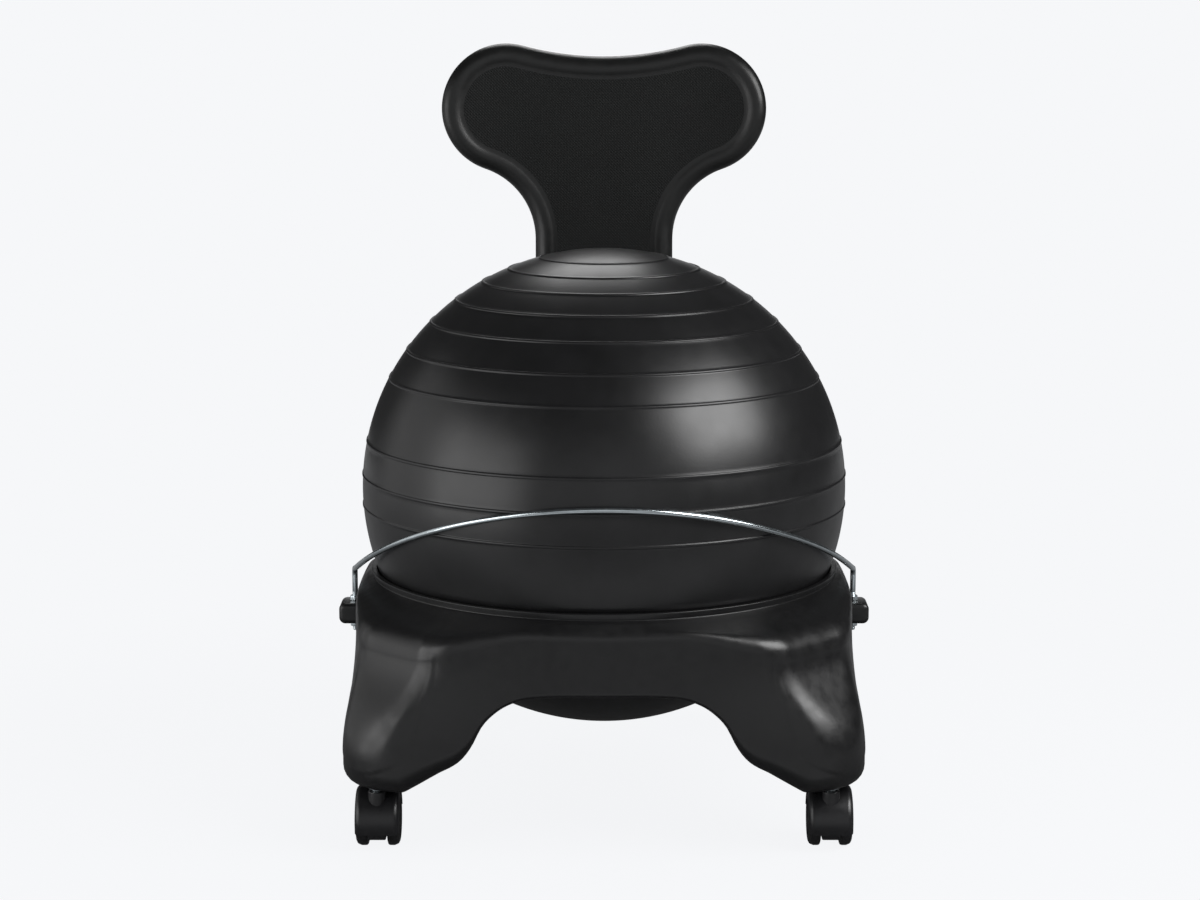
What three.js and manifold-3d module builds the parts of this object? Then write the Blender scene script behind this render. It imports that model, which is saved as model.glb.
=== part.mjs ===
import * as THREE from 'three';
import { mergeVertices } from 'three/addons/utils/BufferGeometryUtils.js';
import Module from 'manifold-3d';

const wasm = await Module();
wasm.setup();

// A balance ball chair, in millimetres, with +Z up and its front towards -Y.
// The ball sits in a moulded four-legged base on casters, under a steel retaining bar.

// Fits shared by all the pieces
const gap = 0.3;
const looseGap = 0.45;
const runningClearance = 0.1;
const overrun = 6;
const weldDistance = 0.0005;

// The ball
const ballWidth = 506;
const ballHeight = 496;
const ballAboveRim = 84;
const ballWall = 1.5;
const ballSides = 32;
const ridgeHeight = 1.1;
const ridgeHalfWidth = 2.2;
const ridgeLatitudes = [74.8, 67, 60.1, 52.4, 44.5, 35.9, 28, 11.7, 3.6, -3.8];
const plainLatitudes = [82, 20, -14, -23, -32, -41, -50, -59, -69];
const poleLatitude = 86;
const valveRadius = 5;
const plugHeadRadius = 8;
const plugHeadHeight = 1.6;
const plugLength = 9;

// The moulded base
const rimHeight = 246;
const rimWidth = 19;
const rimRound = 1.5;
const lipWidth = 6;
const lipSlope = 2;
const lipDrop = 8;
const deckRise = 3;
const faceEdgeInset = 4;
const faceEdgeFall = 3.5;
const faceEdgeShare = 0.12;
const cornerEdgeShare = 0.25;
const seatClearance = 1;
const bowlDepth = 68;
const baseWall = 4;
const baseHollowInset = 7.5;
const sideSag = 11;
const topChamfer = 75;
const cornerEdgeDrop = 29;
const sideEdgeDrop = 15;
const edgeRound = 10;
const footHalfWidth = 260;
const footCornerRadius = 60;
const footHeight = 67;
const footDepth = 74;
const toeRound = 18;
const apronHeight = 81;
const archEdgeRound = 5;
const flareTopDrop = 44;
const flareHeight = 104;
const archLip = 26;
const fanStartShare = 0.5;
const sideFanShare = 0.34;
const insideWayShare = 0.5;
const insideRiseShare = 0.55;
const sharpestTurnShare = 0.4;

// Places along half of one side, as shares of the flat length, with the arch height over the foot there
const sideShares = [0, 0.2, 0.385, 0.475, 0.543, 0.6, 0.656, 0.72, 0.83, 1];
const archShares = [1, 1, 0.975, 0.913, 0.819, 0.689, 0.464, 0.311, 0.191, 0];
const cornerShares = [0.5, 1];

// Heights up the bowl and down the wall, as shares of each, and the section's points that its hollow follows
const bowlShares = [0, 0.33, 0.66, 0.92];
const wallShares = [0, 0.25, 0.5, 0.75, 1];
const hollowSteps = [0, 2, 3, 6, 8, 9, 10, 11, 12, 13, 15, 16];
const boxRoundSteps = 3;

// The ears that carry the retaining bar
const earReach = 21.5;
const earDepth = 38;
const earHeight = 22;
const earTopDrop = 41;
const earRound = 7;
const earHoleInset = 16;

// The retaining bar and its nuts
const barRadius = 3;
const barSides = 8;
const barSeatClearance = 1.2;
const barShoulderDrop = 6;
const barRise = 112;
const barTail = 10;
const barBend = 9;
const barBendSteps = 4;
const barRiseExponent = 1.27;
const barShoulderAngle = 22;
const barSweepAngles = [6, 10, 15, 22, 30, 38, 46, 54, 63, 72, 81, 90];
const nutWidth = 10;
const nutHeight = 5;
const nutSides = 6;

// The backrest
const backrestTop = 781;
const lobeRadius = 72;
const lobeOffset = 110;
const saddleDip = 14.5;
const neckHalfWidth = 77.5;
const neckFillet = 84;
const neckFoot = 430;
const neckCorner = 14;
const backrestThickness = 28;
const backrestWall = 4;
const panelRecess = 1.5;
const lobeForward = 14;
const backLean = 2;
const coreShare = 0.8;
const borderShare = 1.5;
const footFanShare = 0.9;
const lobeSteps = 10;
const filletSteps = 5;
const saddleShares = [0, 0.25, 0.5, 0.75];
const neckShares = [0.33, 0.67];
const neckCornerAngles = [90, 135, 180];
const edgeRoundShares = [[0, 0], [0.29, 0.71], [1, 1]];

// The two posts that carry the backrest
const postSpacing = 90;
const postRadius = 9.5;
const postWall = 1.5;
const postBallClearance = 3.5;
const postBendHeight = 300;
const postTop = 640;
const postSides = 12;
const bossWall = 7;
const bossFootDrop = 96;
const bossRound = 12;
const screwRadius = 2.5;
const screwHeadRadius = 5;
const screwHeadHeight = 2.6;
const screwCrownShare = 0.7;
const screwGrip = 3;
const screwHeights = [480, 600];
const knobRadius = 15;
const knobHeight = 12;
const knobFootShare = 0.6;
const knobFlareShare = 0.3;
const knobCrownShare = 0.8;
const knobScrewRadius = 3;
const knobScrewDrop = 41;
const screwSides = 12;

// The casters
const casterInsetX = 34.5;
const casterInsetY = 42;
const wheelRadius = 28;
const wheelWidth = 12.5;
const wheelSides = 16;
const wheelRound = 4;
const wheelShoulderShare = 0.4;
const wheelShoulderWidthShare = 0.3;
const wheelFaceShare = 1.3;
const wheelDish = 2;
const hubRadius = 9;
const casterTrail = 18;
const axleRadius = 3;
const hoodHeight = 61;
const hoodWall = 2.8;
const webWidth = 18;
const wheelSideClearance = 0.5;
const hoodFrontAngle = 196;
const hoodRearAngle = 12;
const webFoot = 13;
const hoodArcSteps = 9;
const stemRadius = 5.5;
const stemDepth = 22;
const stemRise = 38;
const stemFlangeRadius = 8.5;
const stemFlangeHeight = 1.5;
const socketWall = 2.4;
const socketRise = 34;
const socketFlangeRadius = 11;
const socketFlangeHeight = 1.4;
const leverWidth = 11;
const leverThickness = 3;
const leverPivotRadius = 1.6;
const leverPivotReach = 19;
const leverPivotAngle = 52;
const leverTipReach = 42;
const leverTipAngle = 24;
const leverTravelAngle = 14;
const leverEyeShare = 1.6;
const leverEyeAngle = 54;
const leverEyeSteps = 8;
const slotFootShare = 1.6;
const slotTopShare = 1.5;

// Finishes
const satinBlack = finish(0x242424, 0.5, 0);
const vinylBlack = finish(0x262626, 0.42, 0);
const panelBlack = finish(0x1b1c1c, 0.55, 0);
const casterBlack = finish(0x1c1c1e, 0.45, 0);
const paintedBlack = finish(0x161616, 0.4, 0.2);
const brightZinc = finish(0xc4ccd2, 0.22, 1);

function finish(color, roughness, metalness) {
  return new THREE.MeshStandardMaterial({ color, roughness, metalness });
}

// Values worked out from the sizes above
const ballRadius = ballWidth / 2;
const ballRise = ballHeight / 2;
const ballCentre = rimHeight + ballAboveRim;
const rimInner = ballRadiusAt(rimHeight) + seatClearance;
const bodyHalfWidth = rimInner + rimWidth;
const topCreaseY = bodyHalfWidth - sideSag;
const topCreaseX = topCreaseY - topChamfer;
const footCreaseX = footHalfWidth - footCornerRadius;
const bowlFoot = rimHeight - bowlDepth;
const archHeight = rimHeight - apronHeight;
const flareTop = rimHeight - flareTopDrop;
const barRadiusAtBall = ballRadius + ridgeHeight + barSeatClearance + barRadius;
const earEnd = bodyHalfWidth + earReach;
const earHoleX = earEnd - earHoleInset;
const earTop = rimHeight - earTopDrop;
const earFoot = earTop - earHeight;
const barShoulder = rimHeight - barShoulderDrop;
const barFoot = earFoot - barTail;
const postY = ballRadius + postBallClearance + postRadius;
const leanSlope = Math.tan(THREE.MathUtils.degToRad(backLean));
const lobeCentreZ = backrestTop - lobeRadius;
const bossRear = postY + postRadius + bossWall;
const bossFoot = rimHeight - bossFootDrop;
const knobScrewHeight = rimHeight - knobScrewDrop;
const casterX = footHalfWidth - casterInsetX;
const casterY = footHalfWidth - casterInsetY;
const socketRadius = stemRadius + gap + socketWall;
const socketFoot = footHeight - gap - socketFlangeHeight;
const stemFlangeTop = socketFoot - gap;

function ballRadiusAt(height) {
  const share = (height - ballCentre) / ballRise;
  return ballRadius * Math.sqrt(Math.max(1 - share * share, 0));
}

function postYAt(height) {
  return postY + leanSlope * Math.max(height - postBendHeight, 0);
}

function mix(a, b, share) {
  return a + (b - a) * share;
}

function halfway(a, b) {
  return (a + b) / 2;
}

function smooth(share) {
  return THREE.MathUtils.smoothstep(share, 0, 1);
}

// Solids from geometries, and back
function solidOf(geometry) {
  const bare = geometry.clone();
  bare.deleteAttribute('normal');
  bare.deleteAttribute('uv');
  const merged = mergeVertices(bare, weldDistance);
  const mesh = new wasm.Mesh({
    numProp: 3,
    vertProperties: new Float32Array(merged.attributes.position.array),
    triVerts: new Uint32Array(merged.index.array),
  });
  return new wasm.Manifold(mesh);
}

function geometryOf(solid) {
  const mesh = solid.getMesh();
  const geometry = new THREE.BufferGeometry();
  geometry.setAttribute('position', new THREE.BufferAttribute(mesh.vertProperties, 3));
  geometry.setIndex(new THREE.BufferAttribute(mesh.triVerts, 1));
  geometry.computeVertexNormals();
  return geometry;
}

function cut(geometry, ...cutters) {
  let solid = solidOf(geometry);
  for (const cutter of cutters) {
    solid = solid.subtract(solidOf(cutter));
  }
  return geometryOf(solid);
}

function join(geometry, ...others) {
  let solid = solidOf(geometry);
  for (const other of others) {
    solid = solid.add(solidOf(other));
  }
  return geometryOf(solid);
}

function piece(name, geometry, material) {
  const mesh = new THREE.Mesh(geometry, material);
  mesh.name = name;
  return mesh;
}

// Turned shapes, standing on Z, from a profile of [radius, height] pairs that runs up its outside
function turned(profile, sides) {
  const points = profile.map(([radius, height]) => new THREE.Vector2(radius, height));
  const geometry = new THREE.LatheGeometry(points, sides);
  geometry.rotateX(Math.PI / 2);
  return geometry;
}

function rod(radius, foot, top, sides) {
  return turned([[0, foot], [radius, foot], [radius, top], [0, top]], sides);
}

function rodAlongY(radius, x, z, near, far, sides) {
  const geometry = rod(radius, near, far, sides);
  geometry.rotateX(-Math.PI / 2);
  geometry.translate(x, 0, z);
  return geometry;
}

// A closed surface over rings of points; open rows get a cap at each end, closed rows a ring of rings
function skin(rings, rowsClosed) {
  const count = rings[0].length;
  const positions = rings.flat().flatMap((point) => [point.x, point.y, point.z]);
  const index = [];
  const rows = rowsClosed ? rings.length : rings.length - 1;
  for (let row = 0; row < rows; row += 1) {
    const next = (row + 1) % rings.length;
    for (let column = 0; column < count; column += 1) {
      const side = (column + 1) % count;
      const a = row * count + column;
      const b = row * count + side;
      const c = next * count + side;
      const d = next * count + column;
      index.push(a, b, c, a, c, d);
    }
  }
  if (!rowsClosed) {
    index.push(...cap(rings[0], 0, true));
    index.push(...cap(rings[rings.length - 1], (rings.length - 1) * count, false));
  }
  const geometry = new THREE.BufferGeometry();
  geometry.setAttribute('position', new THREE.Float32BufferAttribute(positions, 3));
  geometry.setIndex(index);
  geometry.computeVertexNormals();
  return geometry;
}

function cap(ring, offset, flipped) {
  const flat = ring.map((point) => new THREE.Vector2(point.x, point.z));
  const faces = THREE.ShapeUtils.triangulateShape(flat, []);
  const reversed = flipped !== THREE.ShapeUtils.isClockWise(flat);
  return faces.flatMap(([a, b, c]) => {
    const order = reversed ? [a, c, b] : [a, b, c];
    return order.map((corner) => corner + offset);
  });
}

// The ball, a hollow moulding with raised rings, open at its valve
function ballPoint(latitude, rise) {
  const angle = THREE.MathUtils.degToRad(latitude);
  return [
    (ballRadius + rise) * Math.cos(angle),
    ballCentre + (ballRise + rise) * Math.sin(angle),
  ];
}

function ballProfile() {
  const latitudes = plainLatitudes.map((latitude) => [latitude, 0]);
  const spread = THREE.MathUtils.radToDeg(ridgeHalfWidth / ballRadius);
  for (const latitude of ridgeLatitudes) {
    latitudes.push([latitude - spread, 0], [latitude, ridgeHeight], [latitude + spread, 0]);
  }
  latitudes.push([poleLatitude, 0], [-poleLatitude + spread * 2, 0]);
  latitudes.sort((a, b) => a[0] - b[0]);
  const profile = latitudes.map(([latitude, rise]) => ballPoint(latitude, rise));
  return [[0, ballCentre - ballRise], ...profile, [0, ballCentre + ballRise]];
}

function ballHollow() {
  const latitudes = [...plainLatitudes, ...ridgeLatitudes].sort((a, b) => a - b);
  const profile = latitudes.map((latitude) => ballPoint(latitude, -ballWall));
  const foot = [0, ballCentre - ballRise + ballWall];
  const top = [0, ballCentre + ballRise - ballWall * 2];
  return turned([foot, ...profile, top], ballSides / 2);
}

function makeBall() {
  const foot = ballCentre - ballRise;
  const valve = rod(valveRadius + gap, foot - overrun, foot + ballWall + overrun, screwSides);
  return cut(turned(ballProfile(), ballSides), ballHollow(), valve);
}

function makeBallPlug() {
  const seat = ballCentre - ballRise - gap;
  const head = seat - plugHeadHeight;
  return turned([
    [0, head], [plugHeadRadius - plugHeadHeight / 2, head], [plugHeadRadius, seat - plugHeadHeight / 2],
    [plugHeadRadius, seat], [valveRadius, seat], [valveRadius, seat + plugLength / 2],
    [valveRadius - plugHeadHeight, seat + plugLength], [0, seat + plugLength],
  ], screwSides);
}

// The way in from the front face, turned towards its middle by a fan
function inwardWay(fan) {
  return new THREE.Vector2(-fan, -1).normalize();
}

// The base's plan for one eighth of its turn: where its wall stands at deck height and at the foot,
// and the way in that the foot's underside takes
function octantStations() {
  const stations = sideShares.map((share, place) => ({
    top: new THREE.Vector2(topCreaseX * share, bodyHalfWidth - sideSag * share * share),
    foot: new THREE.Vector2(footCreaseX * share, mix(bodyHalfWidth, footHalfWidth, share * share)),
    inwards: inwardWay(sideFanShare * smooth((share - fanStartShare) / (1 - fanStartShare))),
    arch: archShares[place],
    corner: 0,
  }));
  for (const share of cornerShares) {
    const angle = share * Math.PI / 4;
    stations.push({
      top: new THREE.Vector2(topCreaseX + topChamfer * share / 2, topCreaseY - topChamfer * share / 2),
      foot: new THREE.Vector2(
        footCreaseX + footCornerRadius * Math.sin(angle),
        footCreaseX + footCornerRadius * Math.cos(angle),
      ),
      inwards: inwardWay(mix(sideFanShare, 1, share)),
      arch: 0,
      corner: share,
    });
  }
  return stations;
}

function swapped(station) {
  return {
    ...station,
    top: new THREE.Vector2(station.top.y, station.top.x),
    foot: new THREE.Vector2(station.foot.y, station.foot.x),
    inwards: new THREE.Vector2(station.inwards.y, station.inwards.x),
  };
}

function quarterStations() {
  const octant = octantStations();
  const mirrored = octant.slice(1, -1).reverse().map(swapped);
  return [...octant, ...mirrored, swapped(octant[0])].slice(0, -1);
}

function turnedStation(station, quarter) {
  const angle = -quarter * Math.PI / 2;
  const centre = new THREE.Vector2(0, 0);
  return {
    ...station,
    top: station.top.clone().rotateAround(centre, angle),
    foot: station.foot.clone().rotateAround(centre, angle),
    inwards: station.inwards.clone().rotateAround(centre, angle),
  };
}

// How far a height lies down the flare, from its top to the straight foot
function flareAt(height) {
  return smooth((flareTop - height) / flareHeight);
}

function bowlPoints() {
  return bowlShares.map((share) => {
    const height = mix(bowlFoot, rimHeight, share);
    return [ballRadiusAt(height) + seatClearance, height];
  });
}

// The lip round the ball, and the deck outside it that slopes to the wall's rounded edge
function deckPoints(edgeReach, edgeTop, corner) {
  const lipEnd = rimInner + lipWidth;
  const deckEnd = mix(edgeReach - faceEdgeInset, edgeReach - edgeRound, corner);
  const roundEnd = edgeReach - edgeRound * mix(faceEdgeShare, cornerEdgeShare, corner);
  return [
    [rimInner + rimRound, rimHeight],
    [lipEnd, rimHeight],
    [lipEnd + lipSlope, rimHeight - lipDrop],
    [deckEnd, edgeTop + deckRise * corner],
    [roundEnd, edgeTop - faceEdgeFall * (1 - corner)],
  ];
}

// The turned-in edge under the wall, marked to run straight in
function underPoints(reach, low, round, depth) {
  return [
    [reach - round / 3, low + round / 3, true],
    [reach - round, low, true],
    [reach - depth, low, true],
  ];
}

// One section of the base: up the bowl, over the rim, down the wall and back under.
// Its points are [reach, height], with a mark on those that run straight in.
function baseSection(station) {
  const topReach = station.top.length();
  const footReach = station.foot.length();
  const outer = (height) => mix(topReach, footReach, flareAt(height));
  const cornerReach = Math.hypot(topCreaseX + topChamfer / 2, topCreaseY - topChamfer / 2);
  const corner = smooth((topReach - bodyHalfWidth) / (cornerReach - bodyHalfWidth));
  const edgeTop = rimHeight - mix(sideEdgeDrop, cornerEdgeDrop, corner);
  const low = mix(footHeight, archHeight, station.arch);
  const footness = smooth(1 - station.arch);
  const round = mix(archEdgeRound, toeRound, footness);
  const bowl = bowlPoints();
  const wall = wallShares.map((share) => {
    const height = mix(edgeTop - edgeRound, low + round, share);
    return [outer(height), height];
  });
  const under = underPoints(outer(low), low, round, mix(archLip, footDepth, footness));
  const [lastReach, lastHeight] = under[under.length - 1];
  const inside = [
    mix(lastReach, bowl[0][0], insideWayShare),
    mix(lastHeight, bowlFoot, insideRiseShare),
  ];
  return [...bowl, ...deckPoints(topReach, edgeTop, corner), ...wall, ...under, inside];
}

// The same section moved inwards by the wall, corner by corner
function insetSection(section, distance) {
  const count = section.length;
  const corners = section.map(([reach, height]) => new THREE.Vector2(reach, height));
  return corners.map((here, place) => {
    const before = here.clone().sub(corners[(place + count - 1) % count]).normalize();
    const after = corners[(place + 1) % count].clone().sub(here).normalize();
    const bisector = new THREE.Vector2(before.y + after.y, -before.x - after.x).normalize();
    const normal = new THREE.Vector2(before.y, -before.x);
    const reach = distance / Math.max(bisector.dot(normal), sharpestTurnShare);
    return [...here.clone().addScaledVector(bisector, reach), section[place][2]];
  });
}

function sectionRing(station, section) {
  const topReach = station.top.length();
  const footReach = station.foot.length();
  const topWay = station.top.clone().normalize();
  const footWay = station.foot.clone().normalize();
  return section.map(([reach, height, straight]) => {
    const flare = flareAt(height);
    const wall = mix(topReach, footReach, flare);
    const across = THREE.MathUtils.clamp((reach - rimInner) / (wall - rimInner), 0, 1);
    const way = topWay.clone().lerp(footWay, straight ? flare : flare * across).normalize();
    const place = way.multiplyScalar(straight ? wall : reach);
    place.addScaledVector(station.inwards, straight ? wall - reach : 0);
    return new THREE.Vector3(place.x, -place.y, height);
  });
}

function baseStations() {
  const quarter = quarterStations();
  return [0, 1, 2, 3].flatMap((turn) => quarter.map((station) => turnedStation(station, turn)));
}

function makeBaseSkin() {
  return skin(baseStations().map((station) => sectionRing(station, baseSection(station))), true);
}

function makeBaseHollow() {
  const stations = baseStations().filter((station, place) => place % 2 === 0);
  const rings = stations.map((station) => {
    const section = baseSection(station);
    const followed = hollowSteps.map((step) => section[step]);
    return sectionRing(station, insetSection(followed, baseHollowInset));
  });
  return skin(rings, true);
}

function roundedBox(halfX, nearY, farY, foot, top, round) {
  const shape = new THREE.Shape();
  shape.moveTo(-halfX + round, nearY);
  shape.lineTo(halfX - round, nearY);
  shape.absarc(halfX - round, nearY + round, round, -Math.PI / 2, 0, false);
  shape.lineTo(halfX, farY - round);
  shape.absarc(halfX - round, farY - round, round, 0, Math.PI / 2, false);
  shape.lineTo(-halfX + round, farY);
  shape.absarc(-halfX + round, farY - round, round, Math.PI / 2, Math.PI, false);
  shape.lineTo(-halfX, nearY + round);
  shape.absarc(-halfX + round, nearY + round, round, Math.PI, Math.PI * 1.5, false);
  const depth = top - foot;
  const curveSegments = boxRoundSteps;
  const geometry = new THREE.ExtrudeGeometry(shape, { depth, bevelEnabled: false, curveSegments });
  return geometry.translate(0, 0, foot);
}

function makeEar(side) {
  const inner = bodyHalfWidth - baseWall;
  const geometry = roundedBox(earHeight / 2, inner, earEnd, -earDepth / 2, earDepth / 2, earRound);
  geometry.rotateZ(-Math.PI / 2);
  geometry.rotateX(-Math.PI / 2);
  geometry.translate(0, 0, earTop - earHeight / 2);
  const hole = rod(barRadius + looseGap, earFoot - overrun, earTop + overrun, screwSides);
  const ear = cut(geometry, hole.translate(earHoleX, 0, 0));
  ear.rotateZ((1 - side) * Math.PI / 2);
  return ear;
}

function makeBoss() {
  const half = postSpacing / 2 + postRadius + bossWall;
  const inner = bodyHalfWidth - baseWall;
  return roundedBox(half, inner, bossRear, bossFoot, rimHeight - sideEdgeDrop, bossRound);
}

function makeBossHollow() {
  const half = postSpacing / 2 + postRadius + bossWall - baseWall;
  const far = bossRear - baseWall;
  const top = rimHeight - sideEdgeDrop - baseWall;
  return roundedBox(half, bodyHalfWidth - baseWall * 2, far, bossFoot + baseWall, top, bossRound - baseWall);
}

function makeBaseShell() {
  const holes = casterPlaces().map(({ x, y }) => {
    const hole = rod(socketRadius + gap, footHeight - overrun, footHeight + stemRise + overrun, postSides);
    return hole.translate(x, y, 0);
  });
  for (const side of [-1, 1]) {
    const x = side * postSpacing / 2;
    const bore = rod(postRadius + gap, bossFoot + baseWall, rimHeight + overrun, postSides);
    holes.push(bore.translate(x, postY, 0));
    const screw = knobScrewRadius + gap;
    holes.push(rodAlongY(screw, x, knobScrewHeight, postY, bossRear + overrun, screwSides));
  }
  const hollowed = cut(makeBaseSkin(), makeBaseHollow());
  const joined = join(hollowed, makeBoss(), makeEar(-1), makeEar(1));
  return cut(joined, makeBossHollow(), ...holes);
}

// A curve that passes its knots at even steps, so tight bends can hold more of them
class KnotPath extends THREE.CatmullRomCurve3 {
  getUtoTmapping(share) {
    return share;
  }
}

function sweep(shape, knots, curveSegments) {
  const extrudePath = new KnotPath(knots);
  return new THREE.ExtrudeGeometry(shape, { steps: knots.length - 1, extrudePath, curveSegments });
}

function disc(radius, sides) {
  const shape = new THREE.Shape();
  for (let side = 0; side < sides; side += 1) {
    const angle = 2 * Math.PI * side / sides;
    shape[side === 0 ? 'moveTo' : 'lineTo'](radius * Math.cos(angle), radius * Math.sin(angle));
  }
  shape.closePath();
  return shape;
}

// The retaining bar: up from the ears, then forward and up round the front of the ball
function barPoint(degrees) {
  const angle = THREE.MathUtils.degToRad(degrees);
  const away = Math.max(1 - degrees / barShoulderAngle, 0);
  const reach = mix(barRadiusAtBall, earHoleX, away * away);
  const rise = barRise * Math.pow(Math.sin(angle), barRiseExponent);
  return new THREE.Vector3(reach * Math.cos(angle), -reach * Math.sin(angle), barShoulder + rise);
}

function barKnots() {
  const sweepStart = barPoint(THREE.MathUtils.radToDeg(barBend / earHoleX));
  const legTop = new THREE.Vector3(earHoleX, 0, barShoulder - barBend);
  const corner = new THREE.Vector3(earHoleX, 0, barShoulder);
  const bend = new THREE.QuadraticBezierCurve3(legTop, corner, sweepStart).getPoints(barBendSteps);
  const foot = new THREE.Vector3(earHoleX, 0, barFoot);
  const middle = foot.clone().add(legTop).divideScalar(2);
  const half = [foot, middle, ...bend, ...barSweepAngles.map(barPoint)];
  const mirrored = half.slice(0, -1).reverse().map((point) => new THREE.Vector3(-point.x, point.y, point.z));
  return [...half, ...mirrored];
}

function makeBar() {
  return sweep(disc(barRadius, barSides), barKnots());
}

function makeNut(foot) {
  const shape = disc(nutWidth / Math.sqrt(3), nutSides);
  shape.holes.push(disc(barRadius + looseGap, screwSides));
  const geometry = new THREE.ExtrudeGeometry(shape, { depth: nutHeight, bevelEnabled: false });
  return geometry.rotateZ(Math.PI / nutSides).translate(0, 0, foot);
}

// The posts
function postKnots(x, foot, top) {
  const heights = [foot, halfway(foot, postBendHeight), postBendHeight, halfway(postBendHeight, top), top];
  return heights.map((height) => new THREE.Vector3(x, postYAt(height), height));
}

function makePost(side) {
  const x = side * postSpacing / 2;
  const shape = disc(postRadius, postSides);
  shape.holes.push(disc(postRadius - postWall, postSides));
  const foot = bossFoot + baseWall + gap;
  const tube = sweep(shape, postKnots(x, foot, postTop));
  const holes = screwHeights.map((height) => makeScrewHole(side, height));
  const knobHole = knobScrewRadius + gap;
  holes.push(rodAlongY(knobHole, x, knobScrewHeight, postY, postY + postRadius + overrun, screwSides));
  return cut(tube, ...holes);
}

function makePostBore(side) {
  const x = side * postSpacing / 2;
  const foot = new THREE.Vector3(x, postYAt(neckFoot - overrun), neckFoot - overrun);
  const top = new THREE.Vector3(x, postYAt(postTop + gap), postTop + gap);
  return sweep(disc(postRadius + gap, postSides), [foot, foot.clone().add(top).divideScalar(2), top]);
}

// The arcs of the backrest's outline: over the saddle, round the lobe and in to the neck
function outlineArcs() {
  const saddleZ = backrestTop - saddleDip;
  const saddleOverLobe = saddleZ - lobeCentreZ;
  const spare = lobeRadius * lobeRadius - lobeOffset * lobeOffset - saddleOverLobe * saddleOverLobe;
  const saddleRadius = spare / (2 * (saddleOverLobe - lobeRadius));
  const saddleTurn = Math.asin(lobeOffset / (saddleRadius + lobeRadius));
  const filletX = neckHalfWidth + neckFillet;
  const filletSpan = lobeRadius + neckFillet;
  const filletZ = lobeCentreZ - Math.sqrt(filletSpan * filletSpan - (filletX - lobeOffset) ** 2);
  const filletTurn = Math.asin((filletX - lobeOffset) / filletSpan);
  return { saddleZ, saddleRadius, saddleTurn, filletX, filletZ, filletTurn };
}

// Each point of the outline goes with the place on the panel's centre lines that it is drawn in towards
function outlinePoint(x, z, towardX, towardZ) {
  return { x, z, towardX, towardZ };
}

function saddlePoints({ saddleZ, saddleRadius, saddleTurn }) {
  return saddleShares.map((share) => {
    const turn = saddleTurn * share;
    const z = saddleZ + saddleRadius - saddleRadius * Math.cos(turn);
    return outlinePoint(saddleRadius * Math.sin(turn), z, lobeOffset * share, lobeCentreZ);
  });
}

function lobePoints({ saddleTurn, filletTurn }) {
  const points = [];
  for (let step = 0; step <= lobeSteps; step += 1) {
    const turn = mix(-saddleTurn, Math.PI - filletTurn, step / lobeSteps);
    const x = lobeOffset + lobeRadius * Math.sin(turn);
    points.push(outlinePoint(x, lobeCentreZ + lobeRadius * Math.cos(turn), lobeOffset, lobeCentreZ));
  }
  return points;
}

function filletPoints({ filletX, filletZ, filletTurn }) {
  const inwards = new THREE.QuadraticBezierCurve(
    new THREE.Vector2(lobeOffset, lobeCentreZ),
    new THREE.Vector2(0, lobeCentreZ),
    new THREE.Vector2(0, filletZ),
  );
  const points = [];
  for (let step = 1; step <= filletSteps; step += 1) {
    const turn = mix(-filletTurn, -Math.PI / 2, step / filletSteps);
    const toward = inwards.getPoint(step / filletSteps);
    const x = filletX + neckFillet * Math.sin(turn);
    points.push(outlinePoint(x, filletZ + neckFillet * Math.cos(turn), toward.x, toward.y));
  }
  return points;
}

function neckPoints({ filletZ }) {
  const footCentreZ = neckFoot + neckHalfWidth * footFanShare;
  const straight = neckShares.map((share) => {
    const z = mix(filletZ, footCentreZ, share);
    return outlinePoint(neckHalfWidth, z, 0, z);
  });
  const rounded = neckCornerAngles.map((degrees) => {
    const turn = THREE.MathUtils.degToRad(degrees);
    const x = neckHalfWidth - neckCorner + neckCorner * Math.sin(turn);
    return outlinePoint(x, neckFoot + neckCorner + neckCorner * Math.cos(turn), 0, footCentreZ);
  });
  return [...straight, ...rounded, outlinePoint(0, neckFoot, 0, footCentreZ)];
}

// The right half of the outline, from the middle of its top to the middle of its foot
function halfOutline() {
  const arcs = outlineArcs();
  return [...saddlePoints(arcs), ...lobePoints(arcs), ...filletPoints(arcs), ...neckPoints(arcs)];
}

function fullOutline() {
  const half = halfOutline();
  const others = half.slice(1, -1).reverse();
  const mirrored = others.map(({ x, z, towardX, towardZ }) => outlinePoint(-x, z, -towardX, towardZ));
  return [...half, ...mirrored];
}

// A ring of the panel, drawn in by a distance or by a share of the way, at a depth from its middle sheet
function panelRing(outline, inset, share, depth) {
  const lobeSpan = lobeOffset + lobeRadius - neckHalfWidth;
  return outline.map(({ x, z, towardX, towardZ }) => {
    const way = new THREE.Vector2(towardX - x, towardZ - z);
    const place = Math.max(inset / way.length(), share);
    const here = new THREE.Vector2(x, z).addScaledVector(way, place);
    const beyondNeck = Math.max(Math.abs(here.x) - neckHalfWidth, 0) / lobeSpan;
    const y = postYAt(here.y) + depth - lobeForward * beyondNeck * beyondNeck;
    return new THREE.Vector3(here.x, y, here.y);
  });
}

function makeBackrestSkin(outline) {
  const half = backrestThickness / 2;
  const face = half - panelRecess;
  const edge = edgeRoundShares.map(([inset, depth]) => [inset * half, depth * half]);
  const front = edge.slice(1).reverse();
  return skin([
    panelRing(outline, 0, coreShare, -face),
    panelRing(outline, half * borderShare, 0, -face),
    ...front.map(([inset, depth]) => panelRing(outline, inset, 0, -depth)),
    ...edge.map(([inset, depth]) => panelRing(outline, inset, 0, depth)),
    panelRing(outline, 0, coreShare, half),
  ], false);
}

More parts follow.
